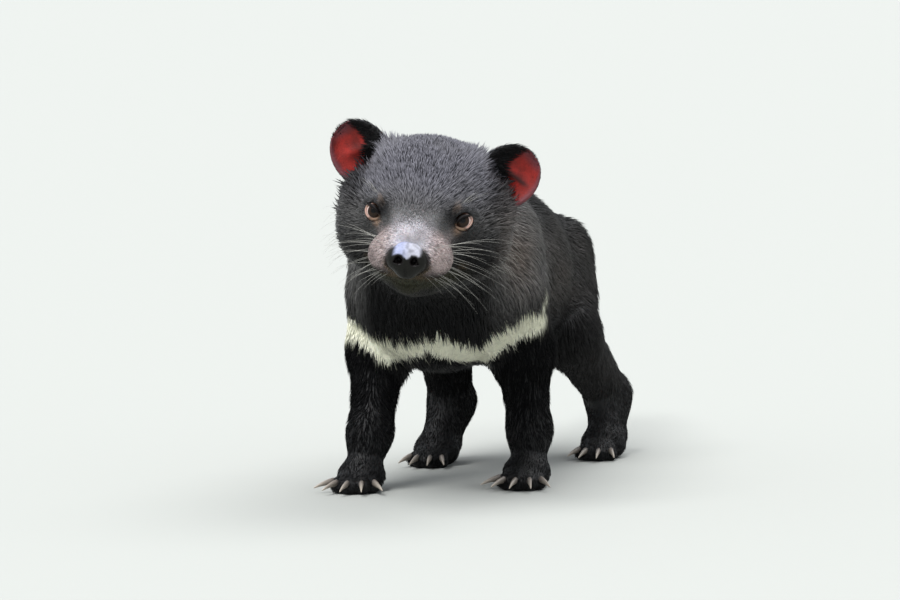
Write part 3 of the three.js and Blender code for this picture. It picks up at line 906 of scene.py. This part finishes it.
def coat_length(p):
    h = to_head(p)
    head = in_head(p)
    wide = np.abs(h[:, 0])
    by_ears = head * bell(wide, 31, 10) * smoothstep(h[:, 2], 20, 36)
    cheek = smoothstep(wide, 34, 52) * smoothstep(h[:, 1], 4, 28) * head
    face = lerp(LENGTH.muzzle, LENGTH.face, smoothstep(h[:, 1], -34, 8))
    length = layered(
        lerp(LENGTH.body, LENGTH.head, head) + LENGTH.more_by_ears * by_ears,
        (lerp(LENGTH.jowl, LENGTH.cheek, smoothstep(h[:, 2], -8, 6)), cheek),
        (LENGTH.band, chest_band(p)),
        (np.where(h[:, 2] < -38, LENGTH.chin, face), in_face(p)),
        (lerp(LENGTH.ankle, LENGTH.leg, smoothstep(p[:, 2], 22, 90)), in_legs(p)),
    )
    length = np.where(p[:, 2] < 26, np.minimum(length, LENGTH.foot), length)
    tail = lerp(LENGTH.tail, LENGTH.tail_end, smoothstep(p[:, 1], 250, 370))
    return lerp(length, tail, in_tail(p))


def coat_lift(p):
    """How steeply a tuft leaves the skin, in radians."""
    h = to_head(p)
    head = in_head(p)
    wide = np.abs(h[:, 0])
    temple = bell(h[:, 2], 16, 18) * smoothstep(wide, 36, 48)
    return layered(
        LIFT.body,
        (LIFT.head, head),
        (LIFT.crown, head * smoothstep(h[:, 2], 18, 40)),
        (LIFT.cheek + LIFT.more_at_temple * temple, head * smoothstep(wide, 40, 54)),
        (LIFT.face, in_face(p)),
        (LIFT.band, chest_band(p)),
        (LIFT.leg, in_legs(p)),
        (LIFT.tail, in_tail(p)),
    )


def coat_gap(p):
    """The distance between roots. Tufts are finest on the face and feet."""
    return layered(
        GAP.body,
        (GAP.head, in_head(p)),
        (GAP.face, in_face(p)),
        (lerp(GAP.foot, GAP.leg, smoothstep(p[:, 2], 20, 60)), in_legs(p)),
        (GAP.band, chest_band(p)),
        (GAP.tail, in_tail(p)),
    )


def on_ears(h):
    """Which points are on an ear's furred back, its furred inner edge, and its bare inside."""
    back, edge, bare = np.zeros((3, len(h)), bool)
    for side in EAR:
        e = to_ear(h, side)
        inward = ear_shape(e)[2]
        at_ear = (ear_field(side)(h) < 0.8) & (e[:, 2] > 2)
        inside = at_ear & (inward > 0.9)
        furred = furred_ear(e, side) > 0.5
        back |= at_ear & ~inside
        edge |= inside & furred
        bare |= inside & ~furred
    return back, edge, bare


SOLE_TO_Z = 2.5
BARE_LIDS = (7.2, 4.9)  # half the width and height of an eye's bare surround
BARE_BY_EYE = 13


def hairless(p, h):
    """Which points are on the soles, the eyes' lids, the line of the mouth or the nose."""
    bare = (p[:, 2] < SOLE_TO_Z) | (mouth_groove(h) < 0.4) | (nose_socket(h) < 1.6)
    for side in SIDES.values():
        across, up, _ = to_eye(h, side).T
        on_lids = np.hypot(across / BARE_LIDS[0], (up + 0.5) / BARE_LIDS[1]) < 1
        bare |= on_lids & (eye_ball_field(side, BARE_BY_EYE)(h) < 0)
    return bare


def ear_lay(h, normals, on_ear, edge):
    """The coat lies upwards on the ears, and outwards too on their inner edges."""
    way = np.zeros_like(normals)
    for side in EAR:
        near = on_ear & ((h[:, 0] > 0) == (SIDES[side] > 0))
        aside = np.where(edge[near], 0.9 * SIDES[side], 0)
        upwards = np.column_stack([aside, np.full(len(aside), 0.2), np.ones(len(aside))])
        way[near] = upwards @ turned(*EAR[side]["turn"]).T @ HEAD_TURN.T
    return pressed(way, normals)[0]


def roots_on(vertices, faces, normals):
    """Spreads roots over the faces, about one in each square as wide as the gap at that place."""
    corner = vertices[faces]
    diagonals = np.cross(corner[:, 2] - corner[:, 0], corner[:, 3] - corner[:, 1])
    area = 0.5 * np.linalg.norm(diagonals, axis=1)
    share = np.cumsum(area / coat_gap(corner.mean(1)) ** 2)
    count = int(share[-1])
    at = np.searchsorted(share, (np.arange(count) + rng.random(count)) * share[-1] / count)
    at = np.minimum(at, len(faces) - 1)
    s, t = rng.random((2, count, 1))
    weights = ((1 - s) * (1 - t), s * (1 - t), s * t, (1 - s) * t)
    place = sum(w * vertices[faces[at, k]] for k, w in enumerate(weights))
    return place, unit(sum(w * normals[faces[at, k]] for k, w in enumerate(weights)))


STAGES = (0.0, 0.45)  # where along it a tuft has its rings


def tuft_mesh(tufts):
    """The vertices and triangles of tufts: three-sided rings, and a point at each one's tip."""
    aside = np.cross(tufts.normal, tufts.lay)
    count, tip = len(tufts.root), len(STAGES) * 3
    vertices = np.zeros((count, tip + 1, 3))
    rise, run = np.sin(tufts.lift), np.cos(tufts.lift)
    buried = np.minimum(0.5, 0.07 * tufts.length)

    def along(s):
        sag = tufts.droop * s * s
        way = s * run * tufts.lay + (s - sag) * rise * tufts.normal
        return tufts.root - buried * tufts.normal + tufts.length * way

    for ring, s in enumerate(STAGES):
        half = tufts.width * (0.5 - 0.42 * s**1.5)
        centre = along(s)
        vertices[:, ring * 3] = centre - half * aside
        vertices[:, ring * 3 + 1] = centre + half * aside
        vertices[:, ring * 3 + 2] = centre + 0.7 * half * tufts.normal
    vertices[:, tip] = along(1)
    sides = ((0, 1), (1, 2), (2, 0))
    triangles = [(0, 2, 1)]
    for low in range(0, tip - 3, 3):
        high = low + 3
        for a, b in sides:
            triangles += [(low + a, low + b, high + a), (low + b, high + b, high + a)]
    triangles += [(tip - 3 + a, tip - 3 + b, tip) for a, b in sides]
    faces = np.array(triangles)[None] + (np.arange(count) * (tip + 1))[:, None, None]
    return vertices.reshape(-1, 3), faces.reshape(-1, 3)


# Unwraps of the skin's shape, one for each stretch of the coat

def round_unwrap(middle, toward):
    """Opens the shape out flat from one pole, as a disc."""
    pole = np.array(toward, float)
    side = unit(np.cross(pole, (0.3, 0.2, 1.0)))
    other = np.cross(pole, side)

    def places(p):
        way = unit(p - np.array(middle, float))
        angle = np.arccos(np.clip(way @ pole, -1, 1)) / math.pi
        flat = unit(np.column_stack([way @ side, way @ other]))
        return 0.5 + 0.49 * angle[:, None] * flat

    return places


def tube_unwrap(a, b):
    """Opens a long shape out flat along its axis."""
    a, b = np.array(a, float), np.array(b, float)
    axis = unit(b - a)
    side = unit(np.cross(axis, (0.3, 0.2, 1.0)))
    other = np.cross(axis, side)

    def places(p):
        q = p - a
        turn = np.arctan2(q @ other, q @ side) / (2 * math.pi) + 0.5
        along = (q @ axis) / np.linalg.norm(b - a)
        return 0.01 + 0.98 * np.clip(np.column_stack([turn, along]), 0, 1)

    return places


def leg_unwrap(name):
    pair, side = name.split("_")
    x, y = PAW_AT[name]
    hip = (SIDES[side] * 42, SHOULDER_Y if pair == "fore" else HIP_Y, 150)
    return tube_unwrap((x, y, -5), hip)


PATCH = 0.003  # the size of a tuft's patch on an unwrap


def coat_stretches(p):
    """Each stretch of the coat: its name, its roots and its unwrap. Later ones take from earlier."""
    h = to_head(p)
    head, legs = in_head(p) > 0.5, in_legs(p) > 0.5
    nearest = np.argmin([leg(p) for leg in leg_fields.values()], axis=0)
    neck = (h[:, 1] < 104) & (p[:, 1] < -120) & ~legs
    crown, face = tuple(from_head((0, 40, -10))), tuple(from_head((0, 20, -14)))
    stretches = {
        "flanks": (np.full(len(p), True), tube_unwrap((0, -100, 150), (0, 80, 145))),
        "back": (p[:, 2] > 168, tube_unwrap((0, -100, 120), (0, 80, 120))),
        "breast": (p[:, 1] < -88, round_unwrap((0, -70, 150), (0, -1, 0))),
        "rump": (p[:, 1] > 62, round_unwrap((0, 60, 140), (0, 1, 0))),
        "tail": (p[:, 1] > 150, tube_unwrap(TAIL_BEADS[0][:3], (-38, 392, 110))),
        "neck": (neck, tube_unwrap((0, -100, 170), from_head((0, 60, 0)))),
        "crown": (head & (h[:, 2] >= -2), round_unwrap(crown, (0, 0, 1))),
        "cheeks": (head & (h[:, 2] < -2), round_unwrap(from_head((0, 40, 0)), (0, 0, -1))),
        "face": (in_face(p) > 0.5, round_unwrap(face, HEAD_TURN @ np.array([0, -1, 0]))),
    }
    for i, leg in enumerate(leg_fields):
        stretches[f"leg_{leg}"] = (legs & (nearest == i) & (p[:, 1] <= 150), leg_unwrap(leg))
    owner = np.zeros(len(p), int)
    for number, (where, _) in enumerate(stretches.values()):
        owner[where] = number
    for number, (name, (_, unwrap)) in enumerate(stretches.items()):
        yield f"coat_{name}", np.nonzero(owner == number)[0], unwrap


LONG_SHARE = 0.12  # of the tufts at the temples, how many are longer
LONG_BY = 1.55


def make_coat(vertices, faces, skin_normals):
    roots, normals = roots_on(vertices, faces, skin_normals)
    h = to_head(roots)
    back, edge, bare = on_ears(h)
    keep = ~(bare | hairless(roots, h))
    roots, normals, h, back, edge = (values[keep] for values in (roots, normals, h, back, edge))
    count = len(roots)
    on_ear = back | edge
    lay, outwards = coat_lay(roots, normals)
    lay = np.where(on_ear[:, None], ear_lay(h, normals, on_ear, edge), lay)
    length = coat_length(roots) * rng.uniform(0.62, 1.2, count)
    long_one = (rng.random(count) < LONG_SHARE) & (in_temples(h) > 0.3)
    length = np.where(long_one, LONG_BY * length, length)
    length = np.where(back, LENGTH.ear_back * rng.uniform(0.7, 1.2, count), length)
    length = np.where(edge, LENGTH.ear_edge * rng.uniform(0.7, 1.2, count), length)
    width = np.clip(0.38 + 0.050 * length, 0.45, 1.3) * rng.uniform(0.75, 1.15, count)
    lift = coat_lift(roots) * rng.uniform(0.6, 1.35, count) * (1 + 0.25 * noise(roots, 7, 13))
    lift = lerp(lift, LIFT.upright, smoothstep(outwards, 0.6, 0.9))
    lift = np.where(on_ear, np.where(edge, LIFT.ear_edge, LIFT.ear_back), lift)
    by_ears = bell(np.abs(h[:, 0]), 32, 10) * smoothstep(h[:, 2], 20, 34) * in_head(roots)
    tufts = SimpleNamespace(
        root=roots,
        normal=normals,
        lay=lay,
        length=length[:, None],
        width=width[:, None],
        lift=lift[:, None],
        droop=lerp(0.55, 0.15, by_ears)[:, None],
        colour=np.where(on_ear[:, None], BLACK * 1.3, coat_colour(roots)),
    )
    for name, chosen, unwrap in coat_stretches(roots):
        stretch = SimpleNamespace(**{key: values[chosen] for key, values in vars(tufts).items()})
        make_stretch(name, stretch, unwrap)


LOWEST = 0.1  # how far above the floor the lowest tufts' ends are held


def make_stretch(name, tufts, unwrap):
    """Makes one stretch of the coat. Its tufts are darker at their roots, as painted shade deep in the
    coat, and each has its own shade of colour.
    """
    mesh, faces = tuft_mesh(tufts)
    mesh[:, 2] = np.maximum(mesh[:, 2], LOWEST)
    along = np.append(np.repeat(STAGES, 3), 1.0)
    across = np.append(np.tile([-0.5, 0.5, 0.0], len(STAGES)), 0.0)
    ridge = np.append(np.tile([0.0, 0.0, 0.08], len(STAGES)), 0.0)
    shade = rng.uniform(0.65, 1.32, len(tufts.root))[:, None]
    shade = lerp(shade, 1, smoothstep(tufts.colour[:, 1:2], 0.4, 0.8))
    tint = (tufts.colour * shade)[:, None]
    # Painted shade deep in the coat: dark tufts are darker at their roots and lighter at their tips;
    # pale ones are left even
    pale = smoothstep(tint[..., 1:2], 0.2, 0.6)
    tint = tint * lerp(0.60 + 0.52 * along[:, None], 1, pale)
    patch = np.column_stack([across, along + ridge - 0.5]) * PATCH
    uv = (unwrap(tufts.root)[:, None] + patch).reshape(-1, 2)
    material = leg_coat_material if name.startswith("coat_leg") else coat_material
    piece(name, mesh, faces, material, tint.reshape(-1, 3), uv)


# Materials

def shader(name, **settings):
    """A material, and its surface node with some of its inputs set."""
    material = bpy.data.materials.new(name)
    material.use_nodes = True
    surface = material.node_tree.nodes["Principled BSDF"]
    for key, value in settings.items():
        surface.inputs[key.replace("_", " ")].default_value = value
    return material, surface


def tinted(name, grain, bumps=None, **settings):
    """A material in the mesh's own colours, a little lighter and darker by a fine grain.

    The grain is its scale and strength. Bumps are a texture, its scale and detail, and the bumps'
    strength and height in metres.
    """
    material, surface = shader(name, **settings)
    nodes, links = material.node_tree.nodes, material.node_tree.links
    place = nodes.new("ShaderNodeNewGeometry")

    def texture(kind, scale, detail):
        made = nodes.new(kind)
        made.inputs["Scale"].default_value = scale
        made.inputs["Detail"].default_value = detail
        links.new(place.outputs["Position"], made.inputs["Vector"])
        return made.outputs[0]

    scale, strength = grain
    span = nodes.new("ShaderNodeMapRange")
    span.inputs["To Min"].default_value = 1 - strength
    span.inputs["To Max"].default_value = 1 + strength
    links.new(texture("ShaderNodeTexNoise", scale, 3), span.inputs["Value"])
    tint = nodes.new("ShaderNodeAttribute")
    tint.attribute_name = "tint"
    blend = nodes.new("ShaderNodeMix")
    blend.data_type = "RGBA"
    blend.blend_type = "MULTIPLY"
    blend.inputs["Factor"].default_value = 1
    links.new(tint.outputs["Color"], blend.inputs["A"])
    links.new(span.outputs["Result"], blend.inputs["B"])
    links.new(blend.outputs["Result"], surface.inputs["Base Color"])
    if bumps:
        *pattern, strength, height = bumps
        bump = nodes.new("ShaderNodeBump")
        bump.inputs["Strength"].default_value = strength
        bump.inputs["Distance"].default_value = height
        links.new(texture(*pattern), bump.inputs["Height"])
        links.new(bump.outputs["Normal"], surface.inputs["Normal"])
    return material


COAT_GRAIN = (260, 0.25)
COAT_ROUGHNESS = 0.52
PORES = ("ShaderNodeTexNoise", 1400, 4, 0.7, 0.0006)
PEBBLES = ("ShaderNodeTexVoronoi", 1500, 0, 0.5, 0.0004)
LID_WRINKLES = ("ShaderNodeTexNoise", 1800, 3, 0.4, 0.0003)
CLAW_GROOVES = ("ShaderNodeTexNoise", 500, 3, 0.3, 0.0003)

coat_material = tinted("coat", COAT_GRAIN, Roughness=COAT_ROUGHNESS, Specular_IOR_Level=0.16)
leg_coat_material = tinted("leg coat", COAT_GRAIN, Roughness=COAT_ROUGHNESS, Specular_IOR_Level=0.04)
skin_material = tinted(
    "skin", (900, 0.35), PORES, Roughness=0.6, Specular_IOR_Level=0.35,
    Subsurface_Weight=0.12, Subsurface_Scale=0.003,
)
nose_material = tinted("nose", (700, 0.25), PEBBLES, Roughness=0.36, Specular_IOR_Level=0.18)
eye_material = tinted("eye", (2500, 0.3), Roughness=0.05, Specular_IOR_Level=0.2)
lid_material = tinted(
    "lids", (1800, 0.25), LID_WRINKLES, Roughness=0.5, Specular_IOR_Level=0.1,
    Subsurface_Weight=0.15, Subsurface_Scale=0.002,
)
claw_material = tinted("claw", (500, 0.25), CLAW_GROOVES, Roughness=0.38)
whisker_material = tinted("whisker", (900, 0.15), Roughness=0.35)


# Round shapes

def way_at(angle, turn):
    """The way at an angle from the Z axis, turned about it."""
    return np.stack([np.sin(angle) * np.cos(turn), np.sin(angle) * np.sin(turn), np.cos(angle)], -1)


def shell(rings, around):
    """Triangles over rings of points, closed by two more points: before the first and after the last."""
    first, last = rings * around, rings * around + 1
    end = first - around
    faces = []
    for k in range(around):
        b = (k + 1) % around
        faces += [(first, k, b), (last, end + b, end + k)]
        for low in range(0, end, around):
            high = low + around
            faces += [(low + k, high + k, high + b), (low + k, high + b, low + b)]
    return np.array(faces)


def facing_out(faces, side):
    """Turns faces over on the right side, where an eye's frame is mirrored."""
    return faces if side > 0 else faces[:, ::-1]


# Eyes and their lids

GAZE_INWARDS = 8  # degrees from the middle of the opening
GAZE_UPWARDS = 13
IRIS = 37  # degrees from its middle to its edge
PUPIL = 15
IRIS_STREAKS = 23
WHITE_SIDE = (0.75, -0.66)  # the white shows outwards and below
CORNEA_RISE = 0.35  # how far the eye's clear front stands out


def ball_mesh(radius_at, around=64, over=48):
    """A ball about the Z axis. Its radius depends on the angle from there."""
    angle = np.linspace(0, math.pi, over + 1)[1:-1]
    turn = np.linspace(0, 2 * math.pi, around, endpoint=False)
    angles, turns = np.meshgrid(angle, turn, indexing="ij")
    rings = way_at(angles, turns) * radius_at(angles)[..., None]
    poles = [[0, 0, radius_at(0)], [0, 0, -radius_at(math.pi)]]
    return np.concatenate([rings.reshape(-1, 3), poles]), shell(len(angle), around)


def make_eye(side_name):
    side = SIDES[side_name]
    middle, axes = eye_frame(side)
    local, faces = ball_mesh(lambda angle: EYE_RADIUS + CORNEA_RISE * bell(angle, 0, 0.5))
    inwards, upwards = (math.tan(math.radians(turn)) for turn in (GAZE_INWARDS, GAZE_UPWARDS))
    gaze = unit(np.array([-inwards, upwards, 1]))
    away = np.degrees(np.arccos(np.clip(unit(local) @ gaze, -1, 1)))
    spokes = np.sin(IRIS_STREAKS * np.arctan2(local[:, 1], local[:, 0]))
    iris = IRIS_BROWN * (0.7 + 0.3 * spokes * bell(away, 24, 10))[:, None]
    colour = painted(
        np.tile(EYE_DARK, (len(local), 1)),
        (EYE_WHITE, smoothstep(unit(local[:, :2] - gaze[:2]) @ WHITE_SIDE, -0.1, 0.6)),
        (iris, 1 - smoothstep(away, IRIS - 1, IRIS + 3)),
        (IRIS_EDGE, bell(away, IRIS, 3)),
        (PUPIL_BLACK, 1 - smoothstep(away, PUPIL - 1, PUPIL + 2)),
    )
    vertices = from_head(local @ axes + middle)
    made = piece(f"eyeball_{side_name}", vertices, facing_out(faces, side), eye_material, colour)
    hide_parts(f"eye_{side_name}")


# A lid's section: how far outside the opening's edge, in radians, and how far above the eyeball
LID_SECTION = [
    (0.10, -0.6), (0.05, 0.0), (0.0, 0.35), (-0.01, 0.75), (0.02, 1.15),
    (0.09, 1.5), (0.16, 1.5), (0.25, 1.1), (0.36, 0.2), (0.50, -1.0),
]
OPENING_ROUND = 1.6  # 2 would be an ellipse, 1 a diamond
UPPER_LID_DROP = 0.36  # how much of the opening's height it covers
UPPER_LID_THICKER = 0.35
CORNER_TURN = -0.55  # how far below the opening's long axis the pale patch at its inner corner is
LID_POINTS = 96


def make_lids(side_name):
    side = SIDES[side_name]
    middle, axes = eye_frame(side)
    turn = np.linspace(0, 2 * math.pi, LID_POINTS, endpoint=False)
    across, up = np.cos(turn), np.sin(turn)
    upper = smoothstep(up, -0.1, 0.7)
    half_wide, half_high = OPENING[0], OPENING[1] * (1 - UPPER_LID_DROP * upper)
    rounded = np.abs(across / half_wide) ** OPENING_ROUND + np.abs(up / half_high) ** OPENING_ROUND
    edge = rounded ** (-1 / OPENING_ROUND)
    lower_outer = (1 - smoothstep(up, 0.0, 0.5)) * smoothstep(across, -0.55, 0.15)
    inner_corner = bell(np.cos(turn + CORNER_TURN), -1, 0.22)
    rings, tints = [], []
    for beyond, above in LID_SECTION:
        radius = EYE_RADIUS + above + UPPER_LID_THICKER * upper * max(0, above)
        rings.append(way_at(edge + beyond, turn) * radius[:, None])
        tints.append(painted(
            np.tile(LASHES, (LID_POINTS, 1)),
            (LID, 0.75 * bell(beyond, 0.0, 0.06) * lower_outer),
            (TAN, inner_corner * bell(beyond, 0.16, 0.22)),
        ))
    faces = []
    for low in range(0, (len(rings) - 1) * LID_POINTS, LID_POINTS):
        high = low + LID_POINTS
        for k in range(LID_POINTS):
            b = (k + 1) % LID_POINTS
            faces.append((low + k, high + k, high + b, low + b))
    vertices = from_head(np.concatenate(rings) @ axes + middle)
    faces = facing_out(np.array(faces), side)
    piece(f"lids_{side_name}", vertices, faces, lid_material, np.concatenate(tints))


# Nose pad

nose_body = melt(4, [
    egg(NOSE_AT, (11.5, 8, 11)),
    *mirrored(lambda s: egg((s * 8.2, -58.5, -20.5), (6.2, 6.0, 7.0))),
    egg((0, -57, -27), (8, 6.5, 7)),
])
nostrils = melt(1, [
    *mirrored(lambda s: egg((s * 5.4, -65.5, -19.5), (2.5, 5.5, 2.9), (0, s * 20, 0))),
    *mirrored(lambda s: limb((s * 6.6, -64.5, -20.2), (s * 12.0, -60.0, -22.6), 1.2, 0.7)),
])
nose_cleft = limb((0, -67.2, -15.5), (0, -63.0, -30), 0.5, 1.0)


def nose_field(h):
    d = soft_max(1.2, nose_body(h), -nostrils(h))
    return soft_max(1.0, d, -nose_cleft(h))


NOSE_CELL = 0.45


def make_nose():
    lines = [ticks((start, end, NOSE_CELL)) for start, end in ((-15, 15), (-70, -46), (-33, -4))]
    p, faces, _ = net(nose_field, lines)
    # Painted gloss: the top of the nose pad, above a wavy line, is coloured as the sky's reflection
    gloss_line = p[:, 2] + 2.2 * noise(p, 3, 9) + 1.6 * noise(p, 1.2, 10)
    top = smoothstep(gloss_line, -17.5, -14.5) * (1 - smoothstep(np.abs(p[:, 0]), 7.5, 11))
    top *= smoothstep(nostrils(p), 0.8, 2.8) * (0.9 + 0.35 * noise(p, 2, 17))
    colour = painted(
        np.tile(NOSE_BLACK, (len(p), 1)),
        (lerp(NOSE_PAINTED_GLOSS_BLUE, NOSE_PAINTED_GLOSS_PALE, smoothstep(p[:, :1], -6, 4)), top),
        (NOSTRIL, 1 - smoothstep(nostrils(p), 0.2, 1.6)),
    )
    made = piece("nose_pad", from_head(p), faces, nose_material, colour)
    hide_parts("nose")


# Claws and whiskers are tubes along bent lines

CLAW_AROUND = 12
CLAW_RADII = (2.7, 0.35)
CLAW_BURIED = 2.5
CLAW_RISE = 3.2  # how far above the toe's middle a claw starts
CLAW_FLATNESS = 0.72


def tube(points, radii, around, flat=1.0):
    """A closed tapering tube: rings about a line of points, with a point at its end."""
    ways = unit(np.gradient(points, axis=0))
    side = unit(np.cross(ways, (0.13, 0.27, 1.0)))
    up = np.cross(side, ways)
    turn = np.linspace(0, 2 * math.pi, around, endpoint=False)[:, None]
    rings = [
        p + r * (np.cos(turn) * s * flat + np.sin(turn) * u)
        for p, r, s, u in zip(points[:-1], radii, side, up)
    ]
    return np.concatenate([*rings, points[:1], points[-1:]]), shell(len(rings), around)


def joined(tubes):
    vertices, faces, offset = [], [], 0
    for v, f in tubes:
        vertices.append(v)
        faces.append(f + offset)
        offset += len(v)
    return np.concatenate(vertices), np.concatenate(faces)


def make_claws():
    t = np.linspace(0, 1, 14)
    for name, pair, side, paw in named_paws():
        forward = TOE_RADIUS - CLAW_BURIED + (CLAW_LENGTH[pair] + CLAW_GAP + CLAW_BURIED) * t
        tubes = []
        for ahead, _, tip in toes(pair, side, paw):
            drop = (0.35 * t + 0.75 * t * t) * (tip[2] - 1)
            line = np.column_stack([tip[:2] + forward[:, None] * ahead, tip[2] + CLAW_RISE - drop])
            tubes.append(tube(line, lerp(*CLAW_RADII, t**1.2), CLAW_AROUND, CLAW_FLATNESS))
        vertices, faces = joined(tubes)
        age = np.tile(np.append(np.repeat(t[:-1], CLAW_AROUND), (0, 1)), len(tubes))
        colour = mix(np.tile(CLAW_ROOT, (len(age), 1)), CLAW_TIP, age)
        made = piece(f"claws_{name}", vertices, faces, claw_material, colour)
        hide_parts(*[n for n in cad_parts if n.startswith(f"claw_{name}_")])


PAD_ROWS = 5
WHISKERS_IN_ROW = 6
BROW_WHISKERS = 4
CHEEK_HAIRS = 26
WHISKER_THICKNESS = {"pad": 0.13, "brow": 0.10, "cheek": 0.09}
WHISKER_BEND = np.array([0, 0.33, -0.21])


def whisker_starts():
    """Each whisker's root and way out in the head's frame, its length and its thickness."""
    for s in SIDES.values():
        for row in range(PAD_ROWS):
            for i in range(WHISKERS_IN_ROW):
                t = i / (WHISKERS_IN_ROW - 1)
                height = lerp(-15, -31, row / (PAD_ROWS - 1))
                root = np.array([s * lerp(13, 27, t), lerp(-50, -22, t), height]) + rng.normal(0, 0.6, 3)
                out = unit(np.array([s, 0.25 + 0.35 * t, 0.22 - 0.22 * row + rng.normal(0, 0.12)]))
                yield root, out, lerp(22, 62, t) * rng.uniform(0.8, 1.15), WHISKER_THICKNESS["pad"]
        for i in range(BROW_WHISKERS):
            root = np.array([s * (27 + 2 * i), -7 + 2 * i, 11 + 0.8 * i])
            out = unit(np.array([s * 0.7, 0.1, 0.9 - 0.1 * i]))
            yield root, out, rng.uniform(16, 26), WHISKER_THICKNESS["brow"]
        for _ in range(CHEEK_HAIRS):
            root = np.array([s * 52, rng.uniform(8, 40), rng.uniform(-44, -4)])
            out = unit(np.array([s * 0.8, rng.uniform(0.2, 0.7), rng.uniform(-0.7, 0.1)]))
            yield root, out, rng.uniform(18, 34), WHISKER_THICKNESS["cheek"]


def onto_skin(h):
    """The nearest places on the skin, just under its surface."""
    p = from_head(h)
    for _ in range(12):
        p, slope = settled(skin_field, p, 3)
    return to_head(p - 0.4 * unit(slope))


def make_whiskers():
    starts = list(whisker_starts())
    roots = onto_skin(np.array([start[0] for start in starts]))
    t = np.linspace(0, 1, 12)[:, None]
    tubes = []
    for root, (_, out, long, thick) in zip(roots, starts):
        line = root + out * long * t * (1 - 0.22 * t) + WHISKER_BEND * long * t * t
        tubes.append(tube(from_head(line), thick * (1 - 0.8 * t[:, 0]), 5))
    vertices, faces = joined(tubes)
    piece("whiskers", vertices, faces, whisker_material, np.tile(WHISKER, (len(vertices), 1)))


make_coat(*make_skin())
for side_name in SIDES:
    make_eye(side_name)
    make_lids(side_name)
make_nose()
make_claws()
make_whiskers()


# Camera, floor and light

CAMERA_AZIMUTH = 18
CAMERA_ELEVATION = 4.5
CAMERA_AWAY = 3200
FOCAL_PIXELS = 4544
EYES_PIXEL = (419, 217)  # where the middle of the two eyes is in the photo
PHOTO_SIZE = (900, 600)
SENSOR = 36

FLOOR_HALF = 60
FLOOR_GREY = (0.36, 0.37, 0.35, 1)
SKY = (0.86, 0.90, 0.95, 1)
SKY_STRENGTH = 0.8
SUNS_AIM = (0, 0, 0.15)


def add_camera():
    a, e = math.radians(CAMERA_AZIMUTH), math.radians(CAMERA_ELEVATION)
    back = np.array([math.sin(a) * math.cos(e), -math.cos(a) * math.cos(e), math.sin(e)])
    right = np.array([math.cos(a), math.sin(a), 0])
    axes = np.stack([right, np.cross(back, right), back])
    across = (EYES_PIXEL[0] - PHOTO_SIZE[0] / 2) / FOCAL_PIXELS
    down = (EYES_PIXEL[1] - PHOTO_SIZE[1] / 2) / FOCAL_PIXELS
    at = middle_of_eyes - axes.T @ (CAMERA_AWAY * np.array([across, -down, -1]))
    data = bpy.data.cameras.new("camera")
    data.sensor_width = SENSOR
    data.lens = FOCAL_PIXELS * SENSOR / PHOTO_SIZE[0]
    data.clip_end = 200
    camera = add("camera", data)
    camera.matrix_world = Matrix.Translation(at / 1000) @ Matrix(axes.T.tolist()).to_4x4()
    bpy.context.scene.camera = camera


def add_floor():
    mesh = bpy.data.meshes.new("floor")
    corners = [(x * FLOOR_HALF, y * FLOOR_HALF, 0) for x, y in ((-1, -1), (1, -1), (1, 1), (-1, 1))]
    mesh.from_pydata(corners, [], [(0, 1, 2, 3)])
    material, _ = shader("floor", Roughness=0.9, Base_Color=FLOOR_GREY)
    mesh.materials.append(material)
    add("floor", mesh)


def add_sun(name, at, spread, strength):
    data = bpy.data.lights.new(name, "SUN")
    data.angle = math.radians(spread)
    data.energy = strength
    lamp = add(name, data)
    lamp.location = at
    lamp.rotation_euler = (Vector(SUNS_AIM) - Vector(at)).to_track_quat("-Z", "Y").to_euler()


def add_world():
    world = bpy.data.worlds.new("world")
    world.use_nodes = True
    back = world.node_tree.nodes["Background"]
    back.inputs["Color"].default_value = SKY
    back.inputs["Strength"].default_value = SKY_STRENGTH
    bpy.context.scene.world = world


add_camera()
add_floor()
add_sun("key", (-0.5, -1.3, 2.5), 35, 3.6)
add_sun("top", (0.6, 0.8, 2.4), 50, 2.2)
add_world()
bpy.context.scene.view_settings.view_transform = "Standard"
